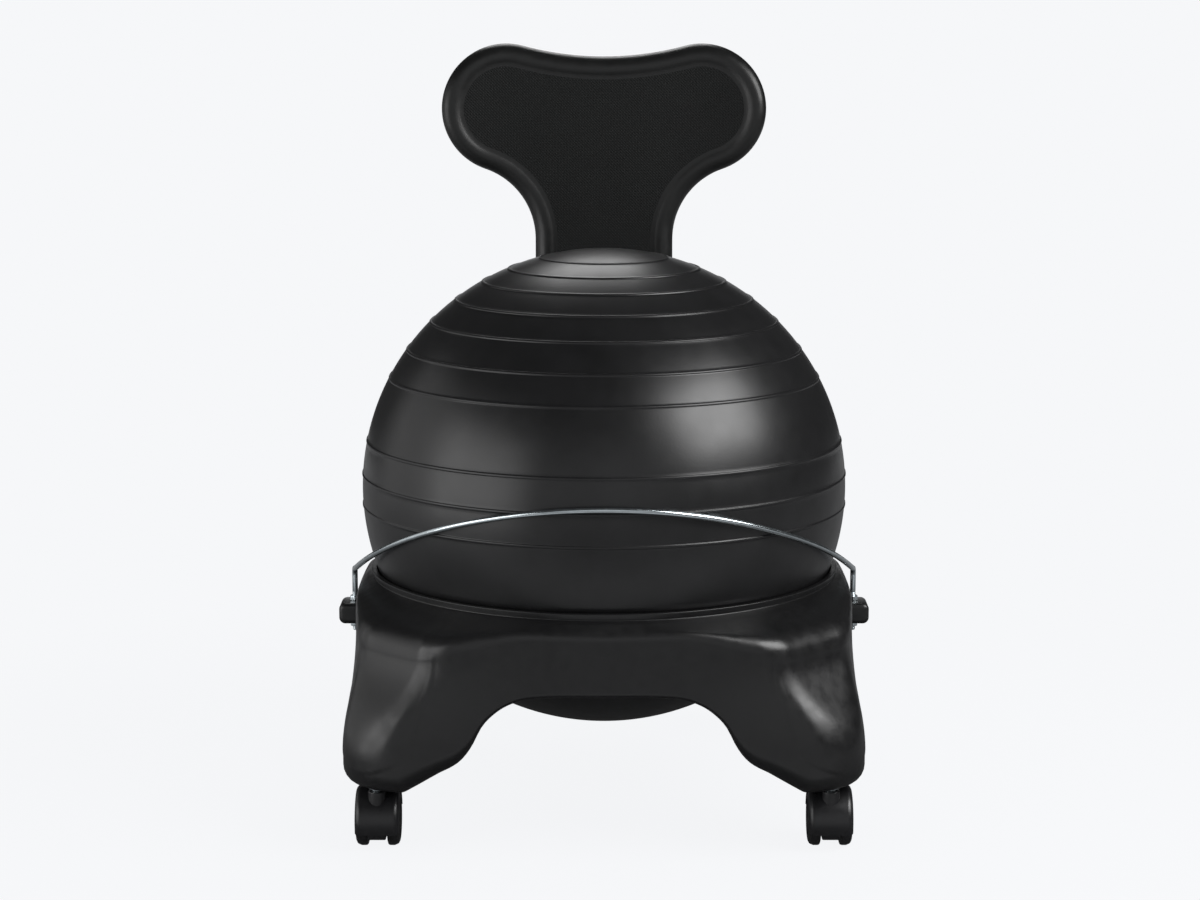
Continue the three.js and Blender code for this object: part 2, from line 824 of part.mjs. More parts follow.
function makeBackrestHollow(outline) {
  const half = backrestThickness / 2;
  const front = half - panelRecess - backrestWall;
  const rear = half - backrestWall;
  return skin([
    panelRing(outline, 0, coreShare, -front),
    panelRing(outline, half * borderShare, 0, -front),
    panelRing(outline, backrestWall, 0, 0),
    panelRing(outline, half * borderShare, 0, rear),
    panelRing(outline, 0, coreShare, rear),
  ], false);
}

function makeScrewHole(side, height) {
  const y = postYAt(height);
  const far = y + backrestThickness / 2 + overrun;
  return rodAlongY(screwRadius + gap, side * postSpacing / 2, height, y, far, screwSides);
}

function makeBackrestShell() {
  const outline = fullOutline();
  const cutters = [makeBackrestHollow(outline), makePostBore(-1), makePostBore(1)];
  for (const height of screwHeights) {
    cutters.push(makeScrewHole(-1, height), makeScrewHole(1, height));
  }
  return cut(makeBackrestSkin(outline), ...cutters);
}

function makeScrew(side, height) {
  const x = side * postSpacing / 2;
  const y = postYAt(height);
  const seat = y + backrestThickness / 2 + gap;
  const foot = y + postRadius - postWall - screwGrip;
  const profile = [
    [0, foot], [screwRadius, foot], [screwRadius, seat], [screwHeadRadius, seat],
    [screwHeadRadius * screwCrownShare, seat + screwHeadHeight], [0, seat + screwHeadHeight],
  ];
  return turned(profile, screwSides).rotateX(-Math.PI / 2).translate(x, 0, height);
}

function makeKnob(side) {
  const x = side * postSpacing / 2;
  const seat = bossRear + gap;
  const foot = postY + postRadius - postWall - screwGrip;
  const profile = [
    [0, foot], [knobScrewRadius, foot], [knobScrewRadius, seat], [knobRadius * knobFootShare, seat],
    [knobRadius, seat + knobHeight * knobFlareShare], [knobRadius, seat + knobHeight * knobCrownShare],
    [knobRadius * knobCrownShare, seat + knobHeight], [0, seat + knobHeight],
  ];
  return turned(profile, screwSides).rotateX(-Math.PI / 2).translate(x, 0, knobScrewHeight);
}

// The casters, each built about its stem's axis with its wheels trailing behind
const axleHeight = wheelRadius * Math.cos(Math.PI / wheelSides);
const hoodRadius = hoodHeight - axleHeight;

function casterPlaces() {
  const places = [];
  for (const [end, ySide] of [['front', -1], ['rear', 1]]) {
    for (const [hand, xSide] of [['left', -1], ['right', 1]]) {
      const x = xSide * casterX;
      const y = ySide * casterY;
      places.push({ name: `${end}_${hand}`, x, y, braked: end === 'rear' });
    }
  }
  return places;
}

// A side-view outline, given as [behind, height], thickened across the caster
function acrossCaster(shape, width, curveSegments) {
  const geometry = new THREE.ExtrudeGeometry(shape, { depth: width, bevelEnabled: false, curveSegments });
  geometry.translate(0, 0, -width / 2);
  return geometry.applyMatrix4(new THREE.Matrix4().makeBasis(
    new THREE.Vector3(0, 1, 0),
    new THREE.Vector3(0, 0, 1),
    new THREE.Vector3(1, 0, 0),
  ));
}

function hoodFender() {
  const from = THREE.MathUtils.degToRad(hoodRearAngle);
  const to = THREE.MathUtils.degToRad(hoodFrontAngle);
  const shape = new THREE.Shape();
  shape.absarc(0, 0, hoodRadius, from, to, false);
  shape.absarc(0, 0, hoodRadius - hoodWall, to, from, true);
  shape.closePath();
  const width = webWidth + 2 * (wheelSideClearance + wheelWidth);
  return acrossCaster(shape, width, hoodArcSteps).translate(0, casterTrail, axleHeight);
}

function hoodWeb() {
  const radius = hoodRadius - hoodWall / 2;
  const drop = Math.asin((axleHeight - webFoot) / radius);
  const shape = new THREE.Shape();
  shape.absarc(0, 0, radius, -drop, Math.PI + drop, false);
  shape.closePath();
  return acrossCaster(shape, webWidth, hoodArcSteps).translate(0, casterTrail, axleHeight);
}

function rodAcross(radius, width, sides) {
  return rod(radius, -width / 2, width / 2, sides).rotateY(Math.PI / 2);
}

function leverPivot() {
  const angle = THREE.MathUtils.degToRad(leverPivotAngle);
  return [casterTrail + leverPivotReach * Math.cos(angle), axleHeight + leverPivotReach * Math.sin(angle)];
}

function leverTip() {
  const angle = THREE.MathUtils.degToRad(leverTipAngle);
  return [casterTrail + leverTipReach * Math.cos(angle), axleHeight + leverTipReach * Math.sin(angle)];
}

// The slot spans the lever's swing, with room for its rounded inner end
function leverSlot() {
  const [pivotY, pivotZ] = leverPivot();
  const near = -leverThickness - gap * 2;
  const far = hoodRadius;
  const fall = Math.tan(THREE.MathUtils.degToRad(leverTravelAngle)) * far;
  const height = leverThickness / 2 + gap * 2;
  const shape = new THREE.Shape();
  shape.moveTo(near, -height * slotFootShare);
  shape.lineTo(0, -height * slotFootShare);
  shape.lineTo(far, -height - fall);
  shape.lineTo(far, height * slotTopShare);
  shape.lineTo(near, height * slotTopShare);
  shape.closePath();
  return acrossCaster(shape, leverWidth + gap * 2, 1).translate(0, pivotY, pivotZ);
}

function makeHood(braked) {
  const boss = rod(webWidth / 2, webFoot + hoodWall, hoodHeight, wheelSides);
  const bore = rod(stemRadius + gap, hoodHeight - stemDepth, hoodHeight + overrun, postSides);
  const axleBore = rodAcross(axleRadius + runningClearance, webWidth + overrun, wheelSides);
  axleBore.translate(0, casterTrail, axleHeight);
  const cutters = [bore, axleBore];
  if (braked) {
    const [pivotY, pivotZ] = leverPivot();
    const pinBore = rodAcross(leverPivotRadius + runningClearance, webWidth + overrun, screwSides);
    cutters.push(leverSlot(), pinBore.translate(0, pivotY, pivotZ));
  }
  return cut(join(hoodFender(), hoodWeb(), boss), ...cutters);
}

function makeLever() {
  const [pivotY, pivotZ] = leverPivot();
  const [tipY, tipZ] = leverTip();
  const length = Math.hypot(tipY - pivotY, tipZ - pivotZ);
  const half = leverThickness / 2;
  const shape = new THREE.Shape();
  const eyeStart = THREE.MathUtils.degToRad(leverEyeAngle);
  shape.absarc(0, 0, half * leverEyeShare, eyeStart, 2 * Math.PI - eyeStart, false);
  shape.lineTo(length, -half);
  shape.lineTo(length, half);
  shape.closePath();
  const plate = acrossCaster(shape, leverWidth, leverEyeSteps);
  plate.rotateX(Math.atan2(tipZ - pivotZ, tipY - pivotY));
  const pin = rodAcross(leverPivotRadius, webWidth - gap * 2, screwSides);
  return join(plate, pin).translate(0, pivotY, pivotZ);
}

function makeWheel(side) {
  const bore = axleRadius + runningClearance;
  const profile = [
    [bore, 0], [wheelRadius - wheelRound / 4, 0], [wheelRadius, wheelRound / 4],
    [wheelRadius, wheelWidth - wheelRound],
    [wheelRadius - wheelRound * wheelShoulderShare, wheelWidth - wheelRound * wheelShoulderWidthShare],
    [wheelRadius - wheelRound * wheelFaceShare, wheelWidth], [hubRadius, wheelWidth - wheelDish],
    [bore, wheelWidth - wheelDish], [bore, 0],
  ];
  const geometry = turned(profile, wheelSides);
  geometry.rotateZ(Math.PI / wheelSides);
  geometry.rotateY(side * Math.PI / 2);
  return geometry.translate(side * (webWidth / 2 + wheelSideClearance), casterTrail, axleHeight);
}

function makeAxle() {
  const width = webWidth + 2 * (wheelSideClearance + wheelWidth - wheelDish);
  return rodAcross(axleRadius, width, wheelSides).translate(0, casterTrail, axleHeight);
}

function makeStem() {
  const foot = hoodHeight - stemDepth + gap;
  const flangeFoot = stemFlangeTop - stemFlangeHeight;
  const top = footHeight + stemRise;
  return turned([
    [0, foot], [stemRadius, foot], [stemRadius, flangeFoot], [stemFlangeRadius, flangeFoot],
    [stemFlangeRadius, stemFlangeTop], [stemRadius, stemFlangeTop],
    [stemRadius, top - stemRadius / 2], [stemRadius / 2, top], [0, top],
  ], postSides);
}

function makeSocket() {
  const inner = stemRadius + gap;
  const seat = socketFoot + socketFlangeHeight;
  const top = footHeight + socketRise;
  return turned([
    [inner, socketFoot], [socketFlangeRadius, socketFoot], [socketFlangeRadius, seat],
    [socketRadius, seat], [socketRadius, top], [inner, top], [inner, socketFoot],
  ], postSides);
}

function casterGroup({ name, x, y, braked }) {
  const group = new THREE.Group();
  group.position.set(x, y, 0);
  group.add(piece(`caster_socket_${name}`, makeSocket(), satinBlack));
  group.add(piece(`caster_stem_${name}`, makeStem(), brightZinc));
  group.add(piece(`caster_hood_${name}`, makeHood(braked), casterBlack));
  group.add(piece(`caster_axle_${name}`, makeAxle(), brightZinc));
  group.add(piece(`wheel_${name}_left`, makeWheel(-1), casterBlack));
  group.add(piece(`wheel_${name}_right`, makeWheel(1), casterBlack));
  if (braked) {
    group.add(piece(`brake_lever_${name}`, makeLever(), casterBlack));
  }
  return group;
}

// The chair, centred front to back on its whole depth
function makeChair() {
  const chair = new THREE.Group();
  chair.add(piece('base_shell', makeBaseShell(), satinBlack));
  chair.add(piece('ball', makeBall(), vinylBlack));
  chair.add(piece('ball_plug', makeBallPlug(), vinylBlack));
  chair.add(piece('retaining_bar', makeBar(), brightZinc));
  chair.add(piece('backrest_shell', makeBackrestShell(), panelBlack));
  for (const [hand, side] of [['left', -1], ['right', 1]]) {
    const upper = piece(`bar_nut_upper_${hand}`, makeNut(earTop + gap), brightZinc);
    const lower = piece(`bar_nut_lower_${hand}`, makeNut(earFoot - gap - nutHeight), brightZinc);
    upper.position.x = side * earHoleX;
    lower.position.x = side * earHoleX;
    chair.add(upper, lower);
    chair.add(piece(`backrest_post_${hand}`, makePost(side), paintedBlack));
    chair.add(piece(`post_knob_${hand}`, makeKnob(side), casterBlack));
    chair.add(piece(`backrest_screw_lower_${hand}`, makeScrew(side, screwHeights[0]), brightZinc));
    chair.add(piece(`backrest_screw_upper_${hand}`, makeScrew(side, screwHeights[1]), brightZinc));
  }
  for (const place of casterPlaces()) {
    chair.add(casterGroup(place));
  }
  const reach = new THREE.Box3().setFromObject(chair);
  chair.position.y = -(reach.min.y + reach.max.y) / 2;
  return chair;
}

export default makeChair();
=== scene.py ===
from math import asin, atan, atan2, cos, degrees, pi, radians, sin, sqrt, tan

import bpy
from mathutils import Matrix, Vector


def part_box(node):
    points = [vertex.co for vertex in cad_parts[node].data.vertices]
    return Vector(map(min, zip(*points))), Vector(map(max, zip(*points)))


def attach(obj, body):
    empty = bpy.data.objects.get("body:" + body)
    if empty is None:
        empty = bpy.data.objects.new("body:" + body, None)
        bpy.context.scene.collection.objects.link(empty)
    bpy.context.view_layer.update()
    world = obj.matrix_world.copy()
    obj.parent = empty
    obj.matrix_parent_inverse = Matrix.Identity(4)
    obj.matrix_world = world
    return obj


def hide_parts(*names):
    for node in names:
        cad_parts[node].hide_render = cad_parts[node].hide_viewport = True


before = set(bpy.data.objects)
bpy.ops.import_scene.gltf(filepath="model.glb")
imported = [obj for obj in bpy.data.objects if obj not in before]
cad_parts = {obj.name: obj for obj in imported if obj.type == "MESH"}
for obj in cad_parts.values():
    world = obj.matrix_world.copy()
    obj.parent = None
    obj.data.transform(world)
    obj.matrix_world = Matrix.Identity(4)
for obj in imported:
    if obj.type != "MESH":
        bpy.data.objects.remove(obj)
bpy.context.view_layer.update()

# Shapes are worked out in millimetres about the ball's upright axis, and add_piece turns them into metres
MM = 0.001
BALL_LOW, BALL_HIGH = (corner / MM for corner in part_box("ball"))
BALL_MIDDLE = (BALL_LOW + BALL_HIGH) / 2
CHAIR_Y = BALL_MIDDLE.y
SEAT_GAP = 0.3
AXIS_RADIUS = 0.01
BEND_LIMIT = 0.45
ROUND_STEPS = 6
FINE_SIDES = 96
NUT_SIDES = 72
PART_SIDES = 48
SHAFT_SIDES = 32
HANDS = (("left", -1), ("right", 1))
CASTER_PLACES = ("front_left", "front_right", "rear_left", "rear_right")

# The ball
BALL_RADIUS = 253.0
BALL_RISE = 248.0
BALL_CENTRE = 330.0
BALL_SIDES = 288
BALL_STEP = 0.8
BALL_END_LATITUDE = 88.0
PLUG_ROUND = 0.4
RIB_LATITUDES = [74.8, 67, 60.1, 52.4, 44.5, 35.9, 28, 11.7, 3.6, -3.8]
RIB_HEIGHT = 0.9
RIB_HALF_WIDTH = 2.0
RIB_MARGIN_SHARE = 1.3
RIB_SHAPE = [(-1.0, 0.0), (-0.8, 0.12), (-0.62, 0.72), (-0.4, 0.97), (0.0, 1.0),
             (0.4, 0.97), (0.62, 0.72), (0.8, 0.12), (1.0, 0.0)]

# The moulded base
RIM_HEIGHT = 246.0
SEAT_CLEARANCE = 1.0
RIM_WIDTH = 19.0
BOWL_FOOT = 178.0
SIDE_SAG = 11.0
TOP_CHAMFER = 75.0
CORNER_EDGE_DROP = 29.0
LIP_ROUND = 1.2
KNEE_DROP = 2.0
STEEP_DECK = 0.3
FACE_EDGE_INSET = 4.0
DECK_RISE = 6.5
SIDE_EDGE_DROP = 15.0
EDGE_ROUND = 10.0
CORNER_EDGE_ROUND = 18.0
FOOT_HALF_WIDTH = 260.0
CORNER_RADIUS = 60.0
FOOT_HEIGHT = 67.0
FOOT_DEPTH = 74.0
TOE_ROUND = 18.0
UNDER_EDGE = 2.0
UNDER_EDGE_RISE = 2.5
UNDER_SLOPE_RISE = 0.3
UNDER_MIDDLE_SHARE = 0.6
CEILING_SHARES = (0.25, 0.5, 0.75)
CEILING_SHARE = 1.08
ARCH_HEIGHT = 165.0
ARCH_EDGE_ROUND = 5.0
ARCH_LIP = 26.0
FLARE_TOP = 202.0
FLARE_FOOT = 98.0
FAN_START = 0.5
SIDE_FAN = 0.34
FACET_START = 201.0
FACET_RUN = 108.0
FACET_SPREAD = 1.03
CREASE_BLEND = 15.0
PAD_HEIGHTS = [85, 88, 91, 97, 109, 132, 153, 177, 204, 240]
PAD_HALF_WIDTHS = [0, 16, 25, 37, 48.5, 52, 55, 57, 56.5, 62]
PAD_RAISE = 0.6
PAD_EDGE = 2.6
SIDE_SHARES = [0, 0.2, 0.385, 0.475, 0.543, 0.6, 0.656, 0.72, 0.83, 1]
ARCH_SHARES = [1, 1, 0.975, 0.913, 0.819, 0.689, 0.464, 0.311, 0.191, 0]
CORNER_START = 32.0
CORNER_FROM_SHARE = 0.35
CORNER_SPAN_SHARE = 0.55
FLAT_BEND = 1e-9
FACE_STEPS = 46
CORNER_STEPS = 64
WALL_STEPS = 56
BOWL_STEPS = 8
BOWL_TOP_DROP = 5.0
DECK_STEPS = 4
EDGE_STEPS = 8

# The ears of the retaining bar, and the boss of the posts
EAR_REACH = 21.5
EAR_DEPTH = 38.0
EAR_HEIGHT = 22.0
EAR_TOP = 205.0
EAR_ROUND = 6.5
EAR_HOLE_INSET = 16.0
EAR_EDGE_ROUND = 4.5
EAR_PAD_ROUND = 0.5
BLOCK_ROOT = 9.0
BLOCK_EDGE_STEPS = 5
BLOCK_INSET_SHARE = 0.9
BOSS_FOOT = 150.0
BOSS_ROUND = 12.0
BOSS_WALL = 7.0
BOSS_EDGE_ROUND = 4.0
COLLAR_ROUND = 0.8
WALL = 4.0

# The retaining bar and its nuts
BAR_RADIUS = 2.95
BAR_AT_BALL = 258.2
BAR_SHOULDER = 240.0
BAR_TOP = 352.0
BAR_FOOT = 173.0
BAR_BEND = 9.0
BAR_EXPONENT = 1.27
BAR_SHOULDER_ANGLE = 22.0
BAR_SIDES = 20
BAR_SWEEP_START = 4.0
BAR_SWEEP_STEPS = 60
BAR_BEND_STEPS = 10
BAR_END_CHAMFER = 0.5
THREAD_PITCH = 1.0
THREAD_DEPTH = 0.35
THREAD_TOP = 215.0
THREAD_STEPS = 5
NUT_WIDTH = 10.0
NUT_HEIGHT = 5.0
NUT_CHAMFER = 0.8
NUT_CHAMFER_RUN = 0.6
NUT_CLEARANCE = 0.2
NUT_BORE_CHAMFER = 0.5

# The backrest and its posts
BACKREST_TOP = 780.9
LOBE_RADIUS = 72.0
LOBE_OFFSET = 110.0
SADDLE_DIP = 14.5
NECK_HALF_WIDTH = 77.5
NECK_FILLET = 84.0
NECK_FOOT = 430.0
NECK_CORNER = 14.0
NECK_FORK_SHARE = 0.9
BACKREST_HALF = 13.9
PANEL_RECESS = 1.5
PANEL_SHARES = [1.0, 0.85, 0.7, 0.57, 0.45]
BORDER_RINGS = [(25.0, 0.0), (21.5, 0.05), (19.5, 0.5), (17.5, 1.2)]
REAR_RINGS = [(20.0, 0.0), (24.0, 0.6), (27.0, 0.8)]
ROLL_STEPS = 14
FORK_DROP = 49.0
ARM_STEPS = 11
NECK_STEPS = 9
LOBE_STEPS = 44
NECK_SIDE_STEPS = 10
NECK_FOOT_STEPS = 5
LOBE_FORWARD = 14.0
BACK_LEAN = 2.0
POST_SPACING = 90.0
POST_RADIUS = 9.5
POST_Y = 266.0
POST_BEND_HEIGHT = 300.0
POST_TOP = 640.0
POST_STEPS = 40
SCREW_HEAD_RADIUS = 5.0
SCREW_HEAD_HEIGHT = 2.6
SCREW_RIM_SHARE = 0.45
DOME_EXPONENT = 1.2
DOME_STEPS = 14
POLE_RADIUS = 0.02
CROSS_HALF_WIDTH = 0.65
CROSS_REACH = 3.0
CROSS_DEPTH = 1.1
SCREW_HEIGHTS = {"lower": 480.0, "upper": 600.0}
KNOB_RADIUS = 15.0
KNOB_HEIGHT = 12.0
KNOB_SCREW_HEIGHT = 205.0
KNOB_LOBES = 6
KNOB_HOLLOW = 0.13
KNOB_SHARES = [(0.6, 0.0), (1.0, 0.3), (1.0, 0.8), (0.8, 1.0), (0.3, 1.0)]
KNOB_ROUND = 2.2

# The casters
WHEEL_RADIUS = 27.4
WHEEL_WIDTH = 12.5
WHEEL_GAP = 0.5
WHEEL_ROUND = 0.9
WHEEL_HUB_DEPTH = 2.0
AXLE_CLEARANCE = 0.1
AXLE_ROUND = 0.6
AXLE_SIDES = 40
AXLE_HEIGHT = 27.462
AXLE_RADIUS = 3.0
CASTER_TRAIL = 18.0
HOOD_HEIGHT = 61.0
HOOD_WALL = 2.8
WEB_WIDTH = 18.0
WEB_FOOT = 13.0
HOOD_REAR_ANGLE = 12.0
HOOD_FRONT_ANGLE = 196.0
HOOD_SHOULDER = 6.0
HOOD_STEPS = 40
WEB_EDGE = 1.0
WEB_BOSS_RISE = 2.8
WEB_BOSS_ROUND = 1.2
WEB_BOSS_SIDES = 56
STEM_RADIUS = 5.5
STEM_DEPTH = 22.0
SOCKET_FOOT = 65.3
SOCKET_TOP = 101.0
STEM_TOP = 105.0
STEM_ROUND = 0.5
FLANGE_RADIUS = 8.5
FLANGE_THICKNESS = 1.5
SOCKET_BORE = 5.8
SOCKET_RADIUS = 8.2
SOCKET_FLANGE_RADIUS = 11.0
SOCKET_FLANGE = 1.4
SOCKET_ROUND = 0.4
LEVER_WIDTH = 11.0
LEVER_THICKNESS = 3.0
LEVER_PIVOT_REACH = 19.0
LEVER_PIVOT_ANGLE = 52.0
LEVER_TIP_REACH = 42.0
LEVER_TIP_ANGLE = 24.0
LEVER_STEPS = 60
LEVER_HEEL_SHARE = 0.12
LEVER_EYE_SHARE = 0.1
LEVER_SHIFT_SHARE = 0.01
LEVER_NECK_SHARE = 0.6
LEVER_SWELL_SHARE = 0.9
LEVER_GRIP_SHARES = (0.62, 0.96)
LEVER_GRIP_WAVES = 12
LEVER_GRIP_HEIGHT = 0.45
LEVER_END_SHARE = 0.04
LEVER_END_WIDTH_SHARE = 0.82
LEVER_END_THIN_SHARE = 0.5
LEVER_EDGE_SHARE = 0.5
LEVER_FLAT_SHARE = 0.92
LEVER_PIN_SIDES = 24

# Outlines as pairs of out and up, from a radius and a height that their functions give
PLUG_OUTLINE = [(0, -1.6), (4.5, -1.6), (7.4, -1.1), (8, -0.5), (7.8, 0), (5, 0), (5, 5), (3.4, 9), (0, 9)]
LIP_OUTLINE = [(-0.2, -3.4), (0, 0), (6, 0), (4, -7), (9, -8.4)]
EAR_PAD_OUTLINE = [(3.4, -1), (7.4, -1), (7.4, 0.15), (3.4, 0.15)]
COLLAR_OUTLINE = [(0.4, -2), (4.5, -2), (3.5, 2), (0.4, 2)]
KNOB_SHAFT = [(3, -9.5), (3, 0.5)]
SCREW_SHAFT = [(2.5, -12), (2.5, 0.2)]
STEM_HEAD = [(0, -8), (-0.8, -7.4), (-0.8, -5.8), (0, -5.2), (0, -3), (-2.5, 0), (-5.5, 0)]
WHEEL_INNER_EDGE = [(-3, 0), (-0.6, 0.8), (0, 2.5)]
WHEEL_OUTER_EDGE = [(0, -5.5), (-1.6, -1.8), (-4.2, -0.4), (-6.5, 0), (-7.8, -1.4)]
WHEEL_HUB = [(12.5, -2.6), (9.6, -1.6), (8.6, -0.8), (5.4, -0.6), (4.2, -2)]
LEVER_PIN = [(0, -7.6), (1.6, -7.6), (1.6, 7.6), (0, 7.6)]

# Values worked out from the sizes above
RIM_INNER = BALL_RADIUS * sqrt(1 - ((RIM_HEIGHT - BALL_CENTRE) / BALL_RISE) ** 2) + SEAT_CLEARANCE
BODY_HALF_WIDTH = RIM_INNER + RIM_WIDTH
CREASE_Y = BODY_HALF_WIDTH - SIDE_SAG
CREASE_X = CREASE_Y - TOP_CHAMFER
FOOT_CREASE_X = FOOT_HALF_WIDTH - CORNER_RADIUS
FACET_REACH = (CREASE_X + CREASE_Y) / sqrt(2)
EAR_END = BODY_HALF_WIDTH + EAR_REACH
EAR_HOLE_X = EAR_END - EAR_HOLE_INSET
BOSS_REAR = POST_Y + POST_RADIUS + BOSS_WALL
LOBE_Z = BACKREST_TOP - LOBE_RADIUS


def mix(a, b, share):
    return a + (b - a) * share


def clamp(value):
    return min(max(value, 0.0), 1.0)


def smooth(share):
    held = clamp(share)
    return held * held * (3 - 2 * held)


def steps(count, low=0.0, high=1.0):
    return [mix(low, high, step / count) for step in range(count + 1)]


def table_value(places, values, place):
    """The value at a place of a table, along a curve that passes its points smoothly."""
    last = len(places) - 1
    row = max(i for i in range(last) if places[i] <= place or i == 0)
    span = places[row + 1] - places[row]
    share = (place - places[row]) / span
    slopes = []
    for i in (row, row + 1):
        low, high = max(i - 1, 0), min(i + 1, last)
        slopes.append((values[high] - values[low]) / (places[high] - places[low]) * span)
    rest = 1 - share
    from_low = values[row] * (1 + 2 * share) * rest * rest
    from_high = values[row + 1] * (3 - 2 * share) * share * share
    return from_low + from_high + slopes[0] * share * rest * rest - slopes[1] * share * share * rest


def bend_point(start, corner, end, share):
    """A point on the curve that leaves start towards corner and comes to end from it."""
    return start.lerp(corner, share).lerp(corner.lerp(end, share), share)


def shifted(outline, out, up):
    return [(out + x, up + z) for x, z in outline]


# Meshes
def linked(name, data):
    """A new object that shows the data, in the scene."""
    made = bpy.data.objects.new(name, data)
    bpy.context.scene.collection.objects.link(made)
    return made


def add_piece(name, part, body, slot, stands_for=None, sharp=None):
    """A named piece from points in millimetres about the ball's axis. sharp keeps edges past that angle."""
    verts, faces = part
    mesh = bpy.data.meshes.new(name)
    mesh.from_pydata([Vector((x, y + CHAIR_Y, z)) * MM for x, y, z in verts], [], faces)
    mesh.validate()
    mesh.update()
    mesh.materials.append(FINISHES[slot])
    mesh.polygons.foreach_set("use_smooth", [True] * len(mesh.polygons))
    piece = linked(name, mesh)
    if sharp is not None:
        mesh.set_sharp_from_angle(angle=radians(sharp))
    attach(piece, body)
    if stands_for:
        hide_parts(stands_for)
    return piece


def loft(rings, closed=False, capped=True):
    """Points and faces over rings of points. Closed rows join round, and open ones get caps if capped."""
    count = len(rings[0])
    verts = [point for ring in rings for point in ring]
    rows = len(rings) if closed else len(rings) - 1
    faces = []
    for row in range(rows):
        here, after = row * count, (row + 1) % len(rings) * count
        for column in range(count):
            side = (column + 1) % count
            faces.append((here + column, here + side, after + side, after + column))
    if capped and not closed:
        faces.append(tuple(reversed(range(count))))
        faces.append(tuple(range(len(verts) - count, len(verts))))
    return verts, faces


def merged(*parts):
    verts, faces = [], []
    for more_verts, more_faces in parts:
        shift = len(verts)
        verts += more_verts
        faces += [tuple(corner + shift for corner in face) for face in more_faces]
    return verts, faces


def circle(radius, height, sides):
    turns = [2 * pi * side / sides for side in range(sides)]
    return [(radius * cos(turn), radius * sin(turn), height) for turn in turns]


def turned(profile, sides, closed=False):
    """A shape turned about Z from (radius, height) pairs, which a closed one joins into a ring."""
    return loft([circle(max(radius, AXIS_RADIUS), height, sides) for radius, height in profile], closed)


def moved(part, matrix):
    verts, faces = part
    return [tuple(matrix @ Vector(point)) for point in verts], faces


def placed(part, x, y, z):
    return moved(part, Matrix.Translation((x, y, z)))


def along_x(part):
    return moved(part, Matrix.Rotation(pi / 2, 4, "Y"))


def along_y(part):
    return moved(part, Matrix.Rotation(-pi / 2, 4, "X"))


def rounded_profile(points, radius, bends=4):
    """The same open outline with each inner corner rounded."""
    result = [points[0]]
    for before, here, after in zip(points, points[1:], points[2:]):
        a, b, c = Vector(before), Vector(here), Vector(after)
        reach = min(radius, (a - b).length * BEND_LIMIT, (c - b).length * BEND_LIMIT)
        start, end = b + (a - b).normalized() * reach, b + (c - b).normalized() * reach
        for share in steps(bends):
            result.append(tuple(bend_point(start, b, end, share)))
    return result + [points[-1]]


def tube(path, radius_at, sides):
    """A tube along points; radius_at takes the distance along it and the turn round it."""
    rings, far = [], 0.0
    normal = None
    for place, point in enumerate(path):
        before, after = path[max(place - 1, 0)], path[min(place + 1, len(path) - 1)]
        way = (after - before).normalized()
        if normal is None:
            normal = way.orthogonal().normalized()
        normal = (normal - way * normal.dot(way)).normalized()
        across = way.cross(normal)
        far += (point - before).length
        ring = []
        for side in range(sides):
            turn = 2 * pi * side / sides
            out = normal * cos(turn) + across * sin(turn)
            ring.append(tuple(point + out * radius_at(far, turn)))
        rings.append(ring)
    return loft(rings)


# Materials
PATCH_DETAIL = 5.0
GRAIN_DETAIL = 2.0
WEAR_SHARE = 0.125
HAIR_SCALE = 60.0
HAIR_STRETCH = (0.6, 0.6, 14.0)
HAIR_RANGE = (0.66, 0.7)
DOT_PITCH = 3.4
DOT_START, DOT_END = 0.18, 0.42
# How much darker the dimples are painted, and the tint they go to: painted shade in the recesses
DOT_SHADE_SHARE = 0.55
DOT_SHADE_COLOUR_SHARE = 0.25
DOT_GRAIN_SHARE = 0.3
WHOLE_CELLS = 50.0


def node(tree, kind, inputs=None, **settings):
    made = tree.nodes.new(kind)
    for key, value in settings.items():
        setattr(made, key, value)
    for key, value in (inputs or {}).items():
        if isinstance(value, bpy.types.NodeSocket):
            tree.links.new(value, made.inputs[key])
        else:
            made.inputs[key].default_value = value
    return made


def math_node(tree, operation, *values):
    return node(tree, "ShaderNodeMath", dict(enumerate(values)), operation=operation).outputs[0]


def axes_node(tree, coords):
    return node(tree, "ShaderNodeSeparateXYZ", {"Vector": coords}).outputs


def noise_node(tree, coords, scale, detail=3.0, stretch=None):
    if stretch:
        coords = node(tree, "ShaderNodeMapping", {"Vector": coords, "Scale": stretch}).outputs[0]
    inputs = {"Vector": coords, "Scale": scale, "Detail": detail}
    return node(tree, "ShaderNodeTexNoise", inputs).outputs["Fac"]


def ranged(tree, value, low, high, start=0.3, end=0.7):
    inputs = {"Value": value, "From Min": start, "From Max": end, "To Min": low, "To Max": high}
    return node(tree, "ShaderNodeMapRange", inputs).outputs[0]


def tint(color, share):
    return (*(part * share for part in color), 1.0)


def blended(tree, share, a, b):
    inputs = {"Factor": share, "A": a, "B": b}
    return node(tree, "ShaderNodeMix", inputs, data_type="RGBA").outputs["Result"]


